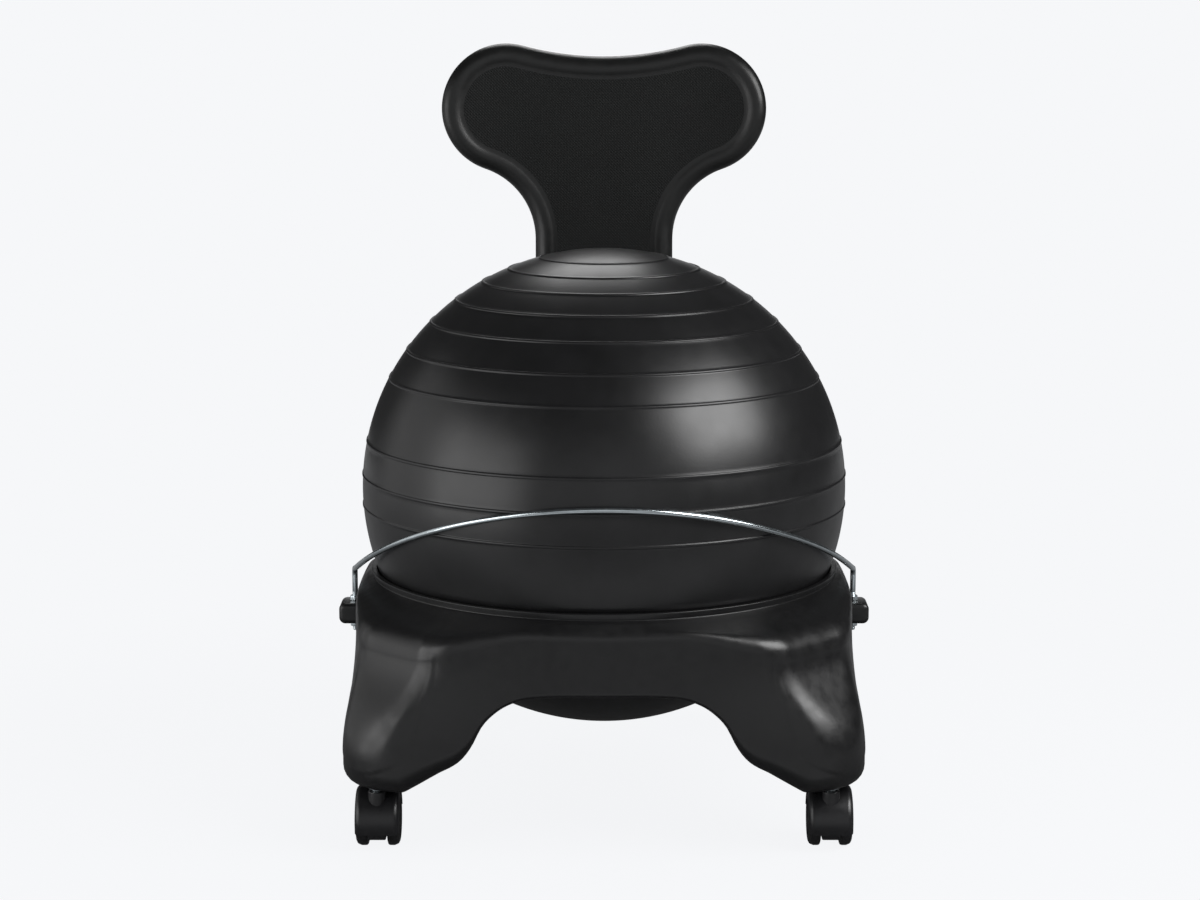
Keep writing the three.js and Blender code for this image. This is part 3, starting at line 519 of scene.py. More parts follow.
def make_finish(name, color, roughness, metallic=0.0, specular=0.5, mottle=0.2, mottle_scale=28.0,
                grain_scale=900.0, grain_depth=0.02, rough_spread=0.06, scratches=0.0, pattern=None):
    """A finish with uneven colour and gloss, a fine grain, and scratches or a pattern where asked."""
    material = bpy.data.materials.new(name)
    material.use_nodes = True
    tree = material.node_tree
    shader = tree.nodes["Principled BSDF"]
    coords = node(tree, "ShaderNodeTexCoord").outputs["Object"]
    patches = noise_node(tree, coords, mottle_scale, PATCH_DETAIL)
    share = ranged(tree, patches, 0.0, 1.0)
    colour = blended(tree, share, tint(color, 1 - mottle), tint(color, 1 + mottle))
    wear = noise_node(tree, coords, grain_scale * WEAR_SHARE)
    gloss = ranged(tree, wear, roughness - rough_spread, roughness + rough_spread)
    height = noise_node(tree, coords, grain_scale, GRAIN_DETAIL)
    if scratches:
        hairs = noise_node(tree, coords, HAIR_SCALE, GRAIN_DETAIL, stretch=HAIR_STRETCH)
        marks = ranged(tree, hairs, 0.0, scratches, *HAIR_RANGE)
        gloss = math_node(tree, "ADD", gloss, marks)
    if pattern:
        dots = pattern(tree, coords)
        height = math_node(tree, "SUBTRACT", math_node(tree, "MULTIPLY", height, DOT_GRAIN_SHARE), dots)
        # The dimples are painted darker as well as sunk: painted shade in the recesses
        dark = math_node(tree, "MULTIPLY", dots, DOT_SHADE_SHARE)
        colour = blended(tree, dark, colour, tint(color, DOT_SHADE_COLOUR_SHARE))
    bump = node(tree, "ShaderNodeBump", {"Height": height, "Strength": 1.0, "Distance": grain_depth * MM})
    tree.links.new(colour, shader.inputs["Base Color"])
    tree.links.new(gloss, shader.inputs["Roughness"])
    tree.links.new(bump.outputs[0], shader.inputs["Normal"])
    shader.inputs["Metallic"].default_value = metallic
    shader.inputs["Specular IOR Level"].default_value = specular
    return material


def dot_pattern(tree, coords):
    """Small dimples on a diagonal grid over the panel's face, which make_finish also paints darker as painted
    shade.
    """
    place = axes_node(tree, coords)
    squares = []
    for operation in ("ADD", "SUBTRACT"):
        slant = math_node(tree, operation, place["X"], place["Z"])
        pitches = math_node(tree, "MULTIPLY", slant, 1 / (DOT_PITCH * MM))
        cell = math_node(tree, "FRACT", math_node(tree, "ADD", pitches, WHOLE_CELLS))
        offset = math_node(tree, "SUBTRACT", cell, 0.5)
        squares.append(math_node(tree, "MULTIPLY", offset, offset))
    distance = math_node(tree, "SQRT", math_node(tree, "ADD", *squares))
    return ranged(tree, distance, 1.0, 0.0, DOT_START, DOT_END)


# Each finish: its colour, its roughness and what else sets it apart
FINISH_VALUES = {
    "base_plastic": ((0.006, 0.006, 0.0063), 0.34,
                     dict(mottle=0.12, mottle_scale=14.0, grain_scale=700.0, grain_depth=0.03)),
    "ball_vinyl": ((0.0066, 0.0066, 0.007), 0.34,
                   dict(mottle_scale=30.0, grain_scale=420.0, grain_depth=0.04, rough_spread=0.02)),
    "backrest_border": ((0.006, 0.0062, 0.0061), 0.36, dict(specular=0.4, mottle=0.1, grain_scale=800.0)),
    "backrest_panel": ((0.006, 0.0065, 0.0063), 0.55,
                       dict(specular=0.18, mottle=0.1, grain_scale=800.0, grain_depth=0.25,
                            pattern=dot_pattern)),
    "caster_plastic": ((0.008, 0.008, 0.0088), 0.34, dict(mottle=0.15, grain_scale=1200.0)),
    "wheel_plastic": ((0.0075, 0.0075, 0.008), 0.42,
                      dict(mottle=0.25, mottle_scale=60.0, grain_scale=600.0, grain_depth=0.03,
                           scratches=0.1)),
    "socket_plastic": ((0.006, 0.006, 0.006), 0.5, dict(mottle=0.1)),
    "painted_steel": ((0.006, 0.006, 0.0062), 0.34,
                      dict(mottle=0.08, grain_scale=1500.0, grain_depth=0.015)),
    "bright_steel": ((0.62, 0.68, 0.71), 0.2,
                     dict(metallic=1.0, mottle=0.1, mottle_scale=90.0, grain_scale=1600.0,
                          grain_depth=0.006, rough_spread=0.05)),
    "dark_steel": ((0.02, 0.02, 0.022), 0.3,
                   dict(metallic=0.6, mottle=0.15, grain_scale=1500.0, grain_depth=0.01)),
}
FINISHES = {name: make_finish(f"{name}_finish", color, roughness, **more)
            for name, (color, roughness, more) in FINISH_VALUES.items()}

# The slots whose finish has another name
FINISHES["plug_vinyl"] = FINISHES["ball_vinyl"]
FINISHES["backrest_plastic"] = FINISHES["backrest_border"]


# The ball with its moulded ribs
def ball_point(latitude, rise):
    angle = radians(latitude)
    return (BALL_RADIUS + rise) * cos(angle), BALL_CENTRE + (BALL_RISE + rise) * sin(angle)


def make_ball():
    spread = degrees(RIB_HALF_WIDTH / BALL_RADIUS)
    end = BALL_END_LATITUDE
    rows = []
    for latitude in steps(int(2 * end / BALL_STEP), -end, end):
        if all(abs(latitude - rib) > spread * RIB_MARGIN_SHARE for rib in RIB_LATITUDES):
            rows.append((latitude, 0.0))
    for rib in RIB_LATITUDES:
        rows += [(rib + place * spread, rise * RIB_HEIGHT) for place, rise in RIB_SHAPE]
    profile = [ball_point(latitude, rise) for latitude, rise in sorted(rows)]
    add_piece("ball_skin", turned(profile, BALL_SIDES), "ball", "ball_vinyl", "ball")


def make_plug():
    profile = shifted(PLUG_OUTLINE, 0, BALL_CENTRE - BALL_RISE - SEAT_GAP)
    part = turned(rounded_profile(profile, PLUG_ROUND), PART_SIDES)
    add_piece("ball_plug_skin", part, "ball", "plug_vinyl", "ball_plug")


# The moulded base
def flare_at(height):
    return smooth((FLARE_TOP - height) / (FLARE_TOP - FLARE_FOOT))


def face_reach(angle, height):
    """How far the bowed face stands from the axis, at an angle from the face's middle."""
    flare = flare_at(height)
    middle = mix(BODY_HALF_WIDTH, FOOT_HALF_WIDTH, flare)
    sag = mix(SIDE_SAG, 0.0, flare)
    crease = mix(CREASE_X, FOOT_CREASE_X, flare)
    slope = tan(angle)
    bend = sag * slope * slope / (crease * crease)
    y = middle if bend < FLAT_BEND else (sqrt(1 + 4 * bend * middle) - 1) / (2 * bend)
    return max(y, middle - sag) / cos(angle)


def corner_reach(angle, height):
    """How far the rounded corner stands from the axis, or nothing where the face is still flat."""
    middle = mix(CREASE_Y, FOOT_HALF_WIDTH, flare_at(height))
    centre = middle - CORNER_RADIUS
    if tan(angle) < centre / middle:
        return None
    away = pi / 4 - angle
    reach = centre * sqrt(2)
    return reach * cos(away) + sqrt(CORNER_RADIUS ** 2 - (reach * sin(away)) ** 2)


def facet_reach(angle, height):
    """The flat facet across the corner, which leans out as it goes down and narrows to a soft V."""
    away = pi / 4 - angle
    foot = (FOOT_CREASE_X * sqrt(2) + CORNER_RADIUS) * FACET_SPREAD
    return mix(FACET_REACH, foot, smooth((FACET_START - height) / FACET_RUN)) / cos(away)


def soft_minimum(a, b, blend):
    share = clamp(0.5 + 0.5 * (b - a) / blend)
    return mix(b, a, share) - blend * share * (1 - share)


def wall_reach(angle, height):
    rounded = corner_reach(angle, height)
    if rounded is None:
        rounded = face_reach(angle, height)
    return soft_minimum(rounded, facet_reach(angle, height), CREASE_BLEND)


def pad_rise(angle, height):
    """The corner's panel stands a little proud of the faces, and narrows to a tongue at its foot."""
    along = (pi / 4 - angle) * wall_reach(angle, height)
    held = min(max(height, PAD_HEIGHTS[0]), PAD_HEIGHTS[-1])
    inside = (table_value(PAD_HEIGHTS, PAD_HALF_WIDTHS, held) - along) / PAD_EDGE
    return PAD_RAISE * smooth(inside * 0.5 + 0.5) * smooth((height - PAD_HEIGHTS[0]) / PAD_EDGE)


def arch_share(angle):
    """How high the arch stands over the foot, at an angle from the face's middle."""
    place = tan(angle) * BODY_HALF_WIDTH / FOOT_CREASE_X
    return clamp(table_value(SIDE_SHARES, ARCH_SHARES, place)) if place < 1 else 0.0


def inward_way(angle):
    """The plan direction in which the foot's underside runs in, fanned out at the corner."""
    place = tan(angle) * BODY_HALF_WIDTH / FOOT_CREASE_X
    corner_start = atan(FOOT_CREASE_X / BODY_HALF_WIDTH)
    if place < 1:
        fan = SIDE_FAN * smooth((place - FAN_START) / (1 - FAN_START))
    else:
        fan = mix(SIDE_FAN, 1.0, clamp((angle - corner_start) / (pi / 4 - corner_start)))
    return Vector((-fan, -1.0)).normalized()


def base_section(angle):
    """One section of the base, up the bowl, over the rim, down the wall and back under it."""
    way = Vector((sin(angle), cos(angle)))
    corner = smooth((angle / (pi / 4) - CORNER_FROM_SHARE) / CORNER_SPAN_SHARE)
    edge_top = RIM_HEIGHT - mix(SIDE_EDGE_DROP, CORNER_EDGE_DROP, corner)
    edge_foot = edge_top - mix(EDGE_ROUND, CORNER_EDGE_ROUND, corner)
    arch = arch_share(angle)
    footness = smooth(1 - arch)
    low = mix(FOOT_HEIGHT, ARCH_HEIGHT, arch)
    round_low = mix(ARCH_EDGE_ROUND, TOE_ROUND, footness)
    profile = []
    for height in steps(BOWL_STEPS, BOWL_FOOT, RIM_HEIGHT - BOWL_TOP_DROP):
        rise = (height - BALL_CENTRE) / BALL_RISE
        profile.append((BALL_RADIUS * sqrt(1 - rise * rise) + SEAT_CLEARANCE, height))
    profile += deck_section(wall_reach(angle, edge_foot), edge_top, edge_foot, corner)
    for height in steps(WALL_STEPS, edge_foot, low + round_low):
        profile.append((wall_reach(angle, height) + pad_rise(angle, height), height))
    section = [(way * reach, height) for reach, height in profile]
    depth = mix(ARCH_LIP, FOOT_DEPTH, footness)
    return section + under_section(angle, section, low, round_low, depth)


def under_section(angle, section, low, round_low, depth):
    """From the wall's foot straight in under it, and up to the foot of the bowl."""
    wall, inwards = section[-1][0], inward_way(angle)
    points = []
    for share in steps(ROUND_STEPS)[1:]:
        turn = share * pi / 2
        height = low + round_low * (1 - sin(turn))
        points.append((wall + inwards * round_low * (1 - cos(turn)), height))
    points += [(wall + inwards * depth * UNDER_MIDDLE_SHARE, low),
               (wall + inwards * (depth - UNDER_EDGE), low + UNDER_SLOPE_RISE),
               (wall + inwards * depth, low + UNDER_EDGE_RISE)]
    last, bowl = points[-1], section[0]
    for share in CEILING_SHARES:
        height = mix(last[1], bowl[1], share * CEILING_SHARE)
        points.append((last[0].lerp(bowl[0], share), height))
    return points


def lip_section():
    """The lip round the ball, undercut above the deck outside it."""
    return rounded_profile(shifted(LIP_OUTLINE, RIM_INNER, RIM_HEIGHT), LIP_ROUND)[1:]


def deck_section(edge_reach, edge_top, edge_foot, corner):
    """The lip, and the deck outside it that slopes to the rounded top of the wall."""
    lip = lip_section()
    start = Vector(lip[-1])
    inset = mix(FACE_EDGE_INSET, CORNER_EDGE_ROUND, corner)
    end = Vector((edge_reach - inset, edge_top + DECK_RISE * corner))
    foot = Vector((edge_reach, edge_foot))
    way = (end - start).normalized()
    knee = Vector((foot.x, end.y - KNEE_DROP))
    if way.x > STEEP_DECK:
        knee.y = end.y + way.y / way.x * (foot.x - end.x)
    deck = [tuple(start.lerp(end, share)) for share in steps(DECK_STEPS)[1:]]
    edge = [tuple(bend_point(end, knee, foot, share)) for share in steps(EDGE_STEPS)[1:-1]]
    return lip + deck + edge


def base_angles():
    octant = [radians(angle) for angle in steps(FACE_STEPS, 0.0, CORNER_START)]
    octant += [radians(angle) for angle in steps(CORNER_STEPS, CORNER_START, 45.0)[1:]]
    quarter = octant + [pi / 2 - angle for angle in reversed(octant[1:-1])]
    return [(quarter_turn * pi / 2, angle) for quarter_turn in range(4) for angle in quarter]


def base_ring(quarter_turn, angle):
    """The section at an angle from the front face, mirrored past the corner and turned to its quarter."""
    mirrored = angle > pi / 4
    section = base_section(pi / 2 - angle if mirrored else angle)
    spin = Matrix.Rotation(-quarter_turn, 2)
    ring = []
    for place, height in section:
        spot = spin @ (Vector((place.y, place.x)) if mirrored else place)
        ring.append((spot.x, -spot.y, height))
    return ring


def make_base():
    rings = [base_ring(*place) for place in base_angles()]
    add_piece("base_skin", loft(rings, closed=True), "base", "base_plastic", "base_shell")


def rounded_box_ring(half_x, near, far, radius, height):
    corners = [(half_x - radius, near + radius, -90), (half_x - radius, far - radius, 0),
               (radius - half_x, far - radius, 90), (radius - half_x, near + radius, 180)]
    ring = []
    for x, y, start in corners:
        for turn in steps(ROUND_STEPS, start, start + 90):
            angle = radians(turn)
            ring.append((x + radius * cos(angle), y + radius * sin(angle), height))
    return ring


def rounded_box(half_x, near, far, radius, foot, top, edge):
    """A block with upright corners of one radius, and its top and foot edges rounded."""
    rings = []
    for share in steps(BLOCK_EDGE_STEPS):
        turn = share * pi / 2
        inset = edge * (1 - sin(turn))
        height = foot + edge * (1 - cos(turn))
        rounding = radius - inset * BLOCK_INSET_SHARE
        rings.append(rounded_box_ring(half_x - inset, near + inset, far - inset, rounding, height))
    upper = [[(x, y, foot + top - z) for x, y, z in ring] for ring in reversed(rings)]
    return loft(rings + upper)


def make_ears():
    """Each ear is a block along Y with rounded edges, and a low pad under the bar's upper nut."""
    for hand, side in HANDS:
        block = rounded_box(EAR_HEIGHT / 2, BODY_HALF_WIDTH - BLOCK_ROOT, EAR_END, EAR_ROUND,
                            -EAR_DEPTH / 2, EAR_DEPTH / 2, EAR_EDGE_ROUND)
        turn = Matrix(((0, 1, 0, 0), (0, 0, 1, 0), (1, 0, 0, EAR_TOP - EAR_HEIGHT / 2), (0, 0, 0, 1)))
        outline = rounded_profile(shifted(EAR_PAD_OUTLINE, 0, EAR_TOP), EAR_PAD_ROUND)
        pad = placed(turned(outline, PART_SIDES), EAR_HOLE_X, 0, 0)
        part = moved(merged(moved(block, turn), pad), Matrix.Rotation((1 - side) * pi / 2, 4, "Z"))
        add_piece(f"bar_ear_{hand}", part, "base", "base_plastic", sharp=50)


def make_boss():
    half = POST_SPACING / 2 + POST_RADIUS + BOSS_WALL
    top = RIM_HEIGHT - SIDE_EDGE_DROP
    near = BODY_HALF_WIDTH - BLOCK_ROOT
    parts = [rounded_box(half, near, BOSS_REAR, BOSS_ROUND, BOSS_FOOT, top, BOSS_EDGE_ROUND)]
    outline = rounded_profile(shifted(COLLAR_OUTLINE, POST_RADIUS, top), COLLAR_ROUND)
    collar = turned(outline, PART_SIDES)
    parts += [placed(collar, side * POST_SPACING / 2, POST_Y, 0) for hand, side in HANDS]
    add_piece("post_boss", merged(*parts), "base", "base_plastic", sharp=50)


# The retaining bar
def bar_point(turn):
    """A point of the bar's sweep, at a turn in degrees from the ear towards the front."""
    angle = radians(turn)
    away = max(1 - turn / BAR_SHOULDER_ANGLE, 0.0)
    reach = mix(BAR_AT_BALL, EAR_HOLE_X, away * away)
    rise = (BAR_TOP - BAR_SHOULDER) * sin(angle) ** BAR_EXPONENT
    return Vector((reach * cos(angle), -reach * sin(angle), BAR_SHOULDER + rise))


def bar_path():
    sweep_start = bar_point(degrees(BAR_BEND / EAR_HOLE_X))
    leg_top = Vector((EAR_HOLE_X, 0, BAR_SHOULDER - BAR_BEND))
    corner = Vector((EAR_HOLE_X, 0, BAR_SHOULDER))
    thread_steps = int((THREAD_TOP - BAR_FOOT) * THREAD_STEPS)
    thread = [Vector((EAR_HOLE_X, 0, z)) for z in steps(thread_steps, BAR_FOOT, THREAD_TOP)]
    bend = [bend_point(leg_top, corner, sweep_start, share) for share in steps(BAR_BEND_STEPS)]
    sweep = [bar_point(turn) for turn in steps(BAR_SWEEP_STEPS, BAR_SWEEP_START, 90.0)]
    half = thread + bend + sweep
    other = [Vector((-point.x, point.y, point.z)) for point in reversed(half[:-1])]
    return half + other


def make_bar():
    path = bar_path()
    whole = sum((b - a).length for a, b in zip(path, path[1:]))
    threaded = THREAD_TOP - BAR_FOOT

    def radius_at(far, turn):
        from_end = min(far, whole - far)
        if from_end > threaded:
            return BAR_RADIUS
        place = (far / THREAD_PITCH + turn / (2 * pi)) % 1
        depth = THREAD_DEPTH * clamp((threaded - from_end) / THREAD_PITCH)
        return BAR_RADIUS - depth * (1 - abs(2 * place - 1)) - BAR_END_CHAMFER * clamp(1 - from_end)

    part = tube(path, radius_at, BAR_SIDES)
    add_piece("retaining_bar_rod", part, "base", "bright_steel", "retaining_bar")


def nut_ring(height, limit):
    """A hexagon with a flat towards +X, its corners cut back to a limit."""
    ring = []
    for side in range(NUT_SIDES):
        turn = 2 * pi * side / NUT_SIDES
        from_flat = (turn + pi / 6) % (pi / 3) - pi / 6
        reach = min(NUT_WIDTH / 2 / cos(from_flat), limit)
        ring.append((reach * cos(turn), reach * sin(turn), height))
    return ring


def nut(foot):
    corner = NUT_WIDTH / sqrt(3)
    cut = corner - NUT_CHAMFER
    top = foot + NUT_HEIGHT
    bore = BAR_RADIUS + NUT_CLEARANCE
    rings = [circle(bore, foot, NUT_SIDES), nut_ring(foot, cut), nut_ring(foot + NUT_CHAMFER_RUN, corner),
             nut_ring(top - NUT_CHAMFER_RUN, corner), nut_ring(top, cut),
             circle(bore + NUT_BORE_CHAMFER, top, NUT_SIDES), circle(bore, top - NUT_BORE_CHAMFER, NUT_SIDES)]
    return loft(rings, closed=True)


def make_nuts():
    levels = (("upper", EAR_TOP + SEAT_GAP), ("lower", EAR_TOP - EAR_HEIGHT - SEAT_GAP - NUT_HEIGHT))
    for hand, side in HANDS:
        for level, foot in levels:
            name = f"bar_nut_{level}_{hand}"
            part = placed(nut(foot), side * EAR_HOLE_X, 0, 0)
            add_piece(f"{name}_hex", part, "base", "bright_steel", name, sharp=25)


# The backrest
def post_y(height):
    return POST_Y + tan(radians(BACK_LEAN)) * max(height - POST_BEND_HEIGHT, 0.0)


def half_outline():
    """The right half of the backrest's outline, each point with its spot on the middle line."""
    saddle_z = BACKREST_TOP - SADDLE_DIP
    over = saddle_z - LOBE_Z
    saddle_radius = (LOBE_RADIUS ** 2 - LOBE_OFFSET ** 2 - over ** 2) / (2 * (over - LOBE_RADIUS))
    saddle_turn = asin(LOBE_OFFSET / (saddle_radius + LOBE_RADIUS))
    fillet_x = NECK_HALF_WIDTH + NECK_FILLET
    span = LOBE_RADIUS + NECK_FILLET
    fillet_z = LOBE_Z - sqrt(span ** 2 - (fillet_x - LOBE_OFFSET) ** 2)
    fillet_turn = asin((fillet_x - LOBE_OFFSET) / span)
    foot_z = NECK_FOOT + NECK_HALF_WIDTH * NECK_FORK_SHARE
    lobe, fork, neck = Vector((LOBE_OFFSET, LOBE_Z)), Vector((0, LOBE_Z - FORK_DROP)), Vector((0, fillet_z))
    points = []
    for share in steps(ARM_STEPS)[:-1]:
        turn = saddle_turn * share
        z = saddle_z + saddle_radius * (1 - cos(turn))
        points.append((saddle_radius * sin(turn), z, *fork.lerp(lobe, share)))
    for turn in steps(LOBE_STEPS, -saddle_turn, pi - fillet_turn):
        x, z = LOBE_OFFSET + LOBE_RADIUS * sin(turn), LOBE_Z + LOBE_RADIUS * cos(turn)
        points.append((x, z, *lobe))
    middle = [lobe.lerp(fork, share) for share in steps(ARM_STEPS)[1:]]
    middle += [fork.lerp(neck, share) for share in steps(NECK_STEPS)[1:]]
    for turn, toward in zip(steps(len(middle), -fillet_turn, -pi / 2)[1:], middle):
        x, z = fillet_x + NECK_FILLET * sin(turn), fillet_z + NECK_FILLET * cos(turn)
        points.append((x, z, *toward))
    for share in steps(NECK_SIDE_STEPS)[1:-1]:
        z = mix(fillet_z, foot_z, share)
        points.append((NECK_HALF_WIDTH, z, 0.0, z))
    for turn in steps(ROUND_STEPS, pi / 2, pi):
        x = NECK_HALF_WIDTH - NECK_CORNER + NECK_CORNER * sin(turn)
        points.append((x, NECK_FOOT + NECK_CORNER + NECK_CORNER * cos(turn), 0.0, foot_z))
    for share in steps(NECK_FOOT_STEPS)[1:]:
        points.append(((NECK_HALF_WIDTH - NECK_CORNER) * (1 - share), NECK_FOOT, 0.0, foot_z))
    return points


def panel_ring(outline, inset, share, depth):
    """The outline drawn in by a distance or by a share of the way, at a depth from the middle sheet."""
    ring = []
    for x, z, toward_x, toward_z in outline:
        here, toward = Vector((x, z)), Vector((toward_x, toward_z))
        place = max(inset / (toward - here).length, share)
        point = here.lerp(toward, place)
        beyond = max(abs(point.x) - NECK_HALF_WIDTH, 0.0) / (LOBE_OFFSET + LOBE_RADIUS - NECK_HALF_WIDTH)
        ring.append((point.x, post_y(point.y) + depth - LOBE_FORWARD * beyond * beyond, point.y))
    return ring


def make_backrest():
    """A dotted panel set into a rolled border in front, and a plain back, closed along the middle line."""
    half = half_outline()
    outline = half + [(-x, z, -tx, tz) for x, z, tx, tz in reversed(half[1:-1])]
    face = BACKREST_HALF - PANEL_RECESS
    rings = [panel_ring(outline, 0, share, -face) for share in PANEL_SHARES]
    rings += [panel_ring(outline, inset, 0, -(face + rise)) for inset, rise in BORDER_RINGS]
    for turn in steps(ROLL_STEPS, 0.0, pi):
        inset, depth = BACKREST_HALF * (1 - sin(turn)), BACKREST_HALF * cos(turn)
        rings.append(panel_ring(outline, inset, 0, -depth))
    for inset, drop in REAR_RINGS:
        rear = BACKREST_HALF - drop
        rings.append(panel_ring(outline, inset, 0, rear))
    rings += [panel_ring(outline, 0, share, rear) for share in reversed(PANEL_SHARES)]
    part = loft(rings, capped=False)
    piece = add_piece("backrest_panel", part, "base", "backrest_plastic", "backrest_shell")
    piece.data.materials.append(FINISHES["backrest_panel"])
    panel_end = (len(PANEL_SHARES) + 1) * len(outline)
    for polygon in piece.data.polygons:
        if max(polygon.vertices) < panel_end:
            polygon.material_index = 1


def make_posts():
    for hand, side in HANDS:
        name = f"backrest_post_{hand}"
        x = side * POST_SPACING / 2
        path = [Vector((x, post_y(z), z)) for z in steps(POST_STEPS, BOSS_FOOT + WALL + SEAT_GAP, POST_TOP)]
        part = tube(path, lambda far, turn: POST_RADIUS, PART_SIDES)
        add_piece(f"{name}_tube", part, "base", "painted_steel", name, sharp=40)


def knob_part():
    """A star knob, standing on Z with its screw below."""
    rings = []
    r, h = KNOB_RADIUS, KNOB_HEIGHT
    profile = [(r * out, h * up) for out, up in KNOB_SHARES]
    for radius, height in rounded_profile(profile, KNOB_ROUND):
        ring = []
        for x, y, z in circle(radius, height, FINE_SIDES):
            hollow = 0.5 - 0.5 * cos(KNOB_LOBES * atan2(y, x))
            lobe = 1 - KNOB_HOLLOW * hollow * radius / r
            ring.append((x * lobe, y * lobe, z))
        rings.append(ring)
    return merged(loft(rings), turned(KNOB_SHAFT, SHAFT_SIDES))


def make_knobs():
    for hand, side in HANDS:
        name = f"post_knob_{hand}"
        seat = BOSS_REAR + SEAT_GAP
        part = placed(along_y(knob_part()), side * POST_SPACING / 2, seat, KNOB_SCREW_HEIGHT)
        add_piece(f"{name}_star", part, "base", "caster_plastic", name, sharp=50)


def screw_part():
    """A domed screw head with a cross recess, on Z, with its shaft below."""
    rings = []
    for share in steps(DOME_STEPS):
        turn = (1 - share) * pi / 2
        rise = SCREW_RIM_SHARE + (1 - SCREW_RIM_SHARE) * cos(turn) ** DOME_EXPONENT
        radius = max(SCREW_HEAD_RADIUS * sin(turn), POLE_RADIUS)
        ring = []
        for x, y, z in circle(radius, SCREW_HEAD_HEIGHT * rise, NUT_SIDES):
            near = min(abs(x), abs(y)) < CROSS_HALF_WIDTH and max(abs(x), abs(y)) < CROSS_REACH
            ring.append((x, y, z - (CROSS_DEPTH if near else 0.0)))
        rings.append(ring)
    skirt = circle(SCREW_HEAD_RADIUS, 0.0, NUT_SIDES)
    return merged(loft([skirt] + rings), turned(SCREW_SHAFT, SHAFT_SIDES))


def make_screws():
    for hand, side in HANDS:
        for level, height in SCREW_HEIGHTS.items():
            name = f"backrest_screw_{level}_{hand}"
            seat = post_y(height) + BACKREST_HALF + SEAT_GAP
            part = placed(along_y(screw_part()), side * POST_SPACING / 2, seat, height)
            add_piece(f"{name}_head", part, "base", "dark_steel", name, sharp=40)


# The casters, each made about its stem's axis with its wheels trailing behind
def wheel_polar(reach, turn):
    """Y and Z of a place at a reach from the axle, turned up in degrees from the trailing side."""
    angle = radians(turn)
    return CASTER_TRAIL + reach * cos(angle), AXLE_HEIGHT + reach * sin(angle)


def hood_section(radius, half_width):
    """Across the mudguard: outer face with rounded shoulders, then back along its inner face."""
    outer = [(-half_width, radius - HOOD_SHOULDER)]
    for turn in steps(ROUND_STEPS, 0.0, pi / 2):
        reach = radius - HOOD_SHOULDER * (1 - sin(turn))
        outer.append((-half_width + HOOD_SHOULDER * (1 - cos(turn)), reach))
    outer += [(-x, reach) for x, reach in reversed(outer)]
    shrink = 1 - HOOD_WALL / half_width
    inner = []
    for x, reach in reversed(outer):
        inner.append((x * shrink, reach - HOOD_WALL if reach > radius - HOOD_SHOULDER else reach))
    return outer + inner


def hood_part():
    radius = HOOD_HEIGHT - AXLE_HEIGHT
    half_width = WEB_WIDTH / 2 + WHEEL_GAP + WHEEL_WIDTH
    rings = []
    section = hood_section(radius, half_width)
    for turn in steps(HOOD_STEPS, HOOD_REAR_ANGLE, HOOD_FRONT_ANGLE):
        rings.append([(x, *wheel_polar(reach, turn)) for x, reach in section])
    return loft(rings)


def web_part():
    radius = HOOD_HEIGHT - AXLE_HEIGHT - HOOD_WALL / 2
    drop = asin((AXLE_HEIGHT - WEB_FOOT) / radius)
    middle = Vector((CASTER_TRAIL, AXLE_HEIGHT))
    half, flat = WEB_WIDTH / 2, WEB_WIDTH / 2 - WEB_EDGE
    rings = []
    for x, inset in ((-half, WEB_EDGE), (-flat, 0.0), (flat, 0.0), (half, WEB_EDGE)):
        ring = []
        for turn in steps(HOOD_STEPS, -drop, pi + drop):
            place = Vector((CASTER_TRAIL + radius * cos(turn), AXLE_HEIGHT + radius * sin(turn)))
            ring.append((x, *place.lerp(middle, inset / radius)))
        rings.append(ring)
    foot, top = WEB_FOOT + WEB_BOSS_RISE, HOOD_HEIGHT
    bore, bore_foot = STEM_RADIUS + SEAT_GAP, top - STEM_DEPTH
    boss = [(0, foot), (half, foot), (half, top), (bore, top), (bore, bore_foot), (0, bore_foot)]
    return merged(loft(rings), turned(rounded_profile(boss, WEB_BOSS_ROUND), WEB_BOSS_SIDES))


def wheel_part(side):
    bore = AXLE_RADIUS + AXLE_CLEARANCE
    profile = [(bore, 0)] + shifted(WHEEL_INNER_EDGE, WHEEL_RADIUS, 0)
    profile += shifted(WHEEL_OUTER_EDGE, WHEEL_RADIUS, WHEEL_WIDTH) + shifted(WHEEL_HUB, 0, WHEEL_WIDTH)
    profile.append((bore, WHEEL_WIDTH - WHEEL_HUB_DEPTH))
    part = turned(rounded_profile(profile, WHEEL_ROUND), FINE_SIDES, closed=True)
    start = side * (WEB_WIDTH / 2 + WHEEL_GAP)
    flip = Matrix.Rotation(side * pi / 2, 4, "Y")
    return placed(moved(part, flip), start, CASTER_TRAIL, AXLE_HEIGHT)


def axle_part():
    half = WEB_WIDTH / 2 + WHEEL_GAP + WHEEL_WIDTH - WHEEL_HUB_DEPTH
    profile = [(0, -half), (AXLE_RADIUS, -half), (AXLE_RADIUS, half), (0, half)]
    part = turned(rounded_profile(profile, AXLE_ROUND), AXLE_SIDES)
    return placed(along_x(part), 0, CASTER_TRAIL, AXLE_HEIGHT)


def stem_part():
    foot, flange = HOOD_HEIGHT - STEM_DEPTH + SEAT_GAP, SOCKET_FOOT - SEAT_GAP
    r, low = STEM_RADIUS, flange - FLANGE_THICKNESS
    profile = [(0, foot), (r, foot), (r, low), (FLANGE_RADIUS, low), (FLANGE_RADIUS, flange), (r, flange)]
    profile += shifted(STEM_HEAD, r, STEM_TOP)
    return turned(rounded_profile(profile, STEM_ROUND), PART_SIDES)


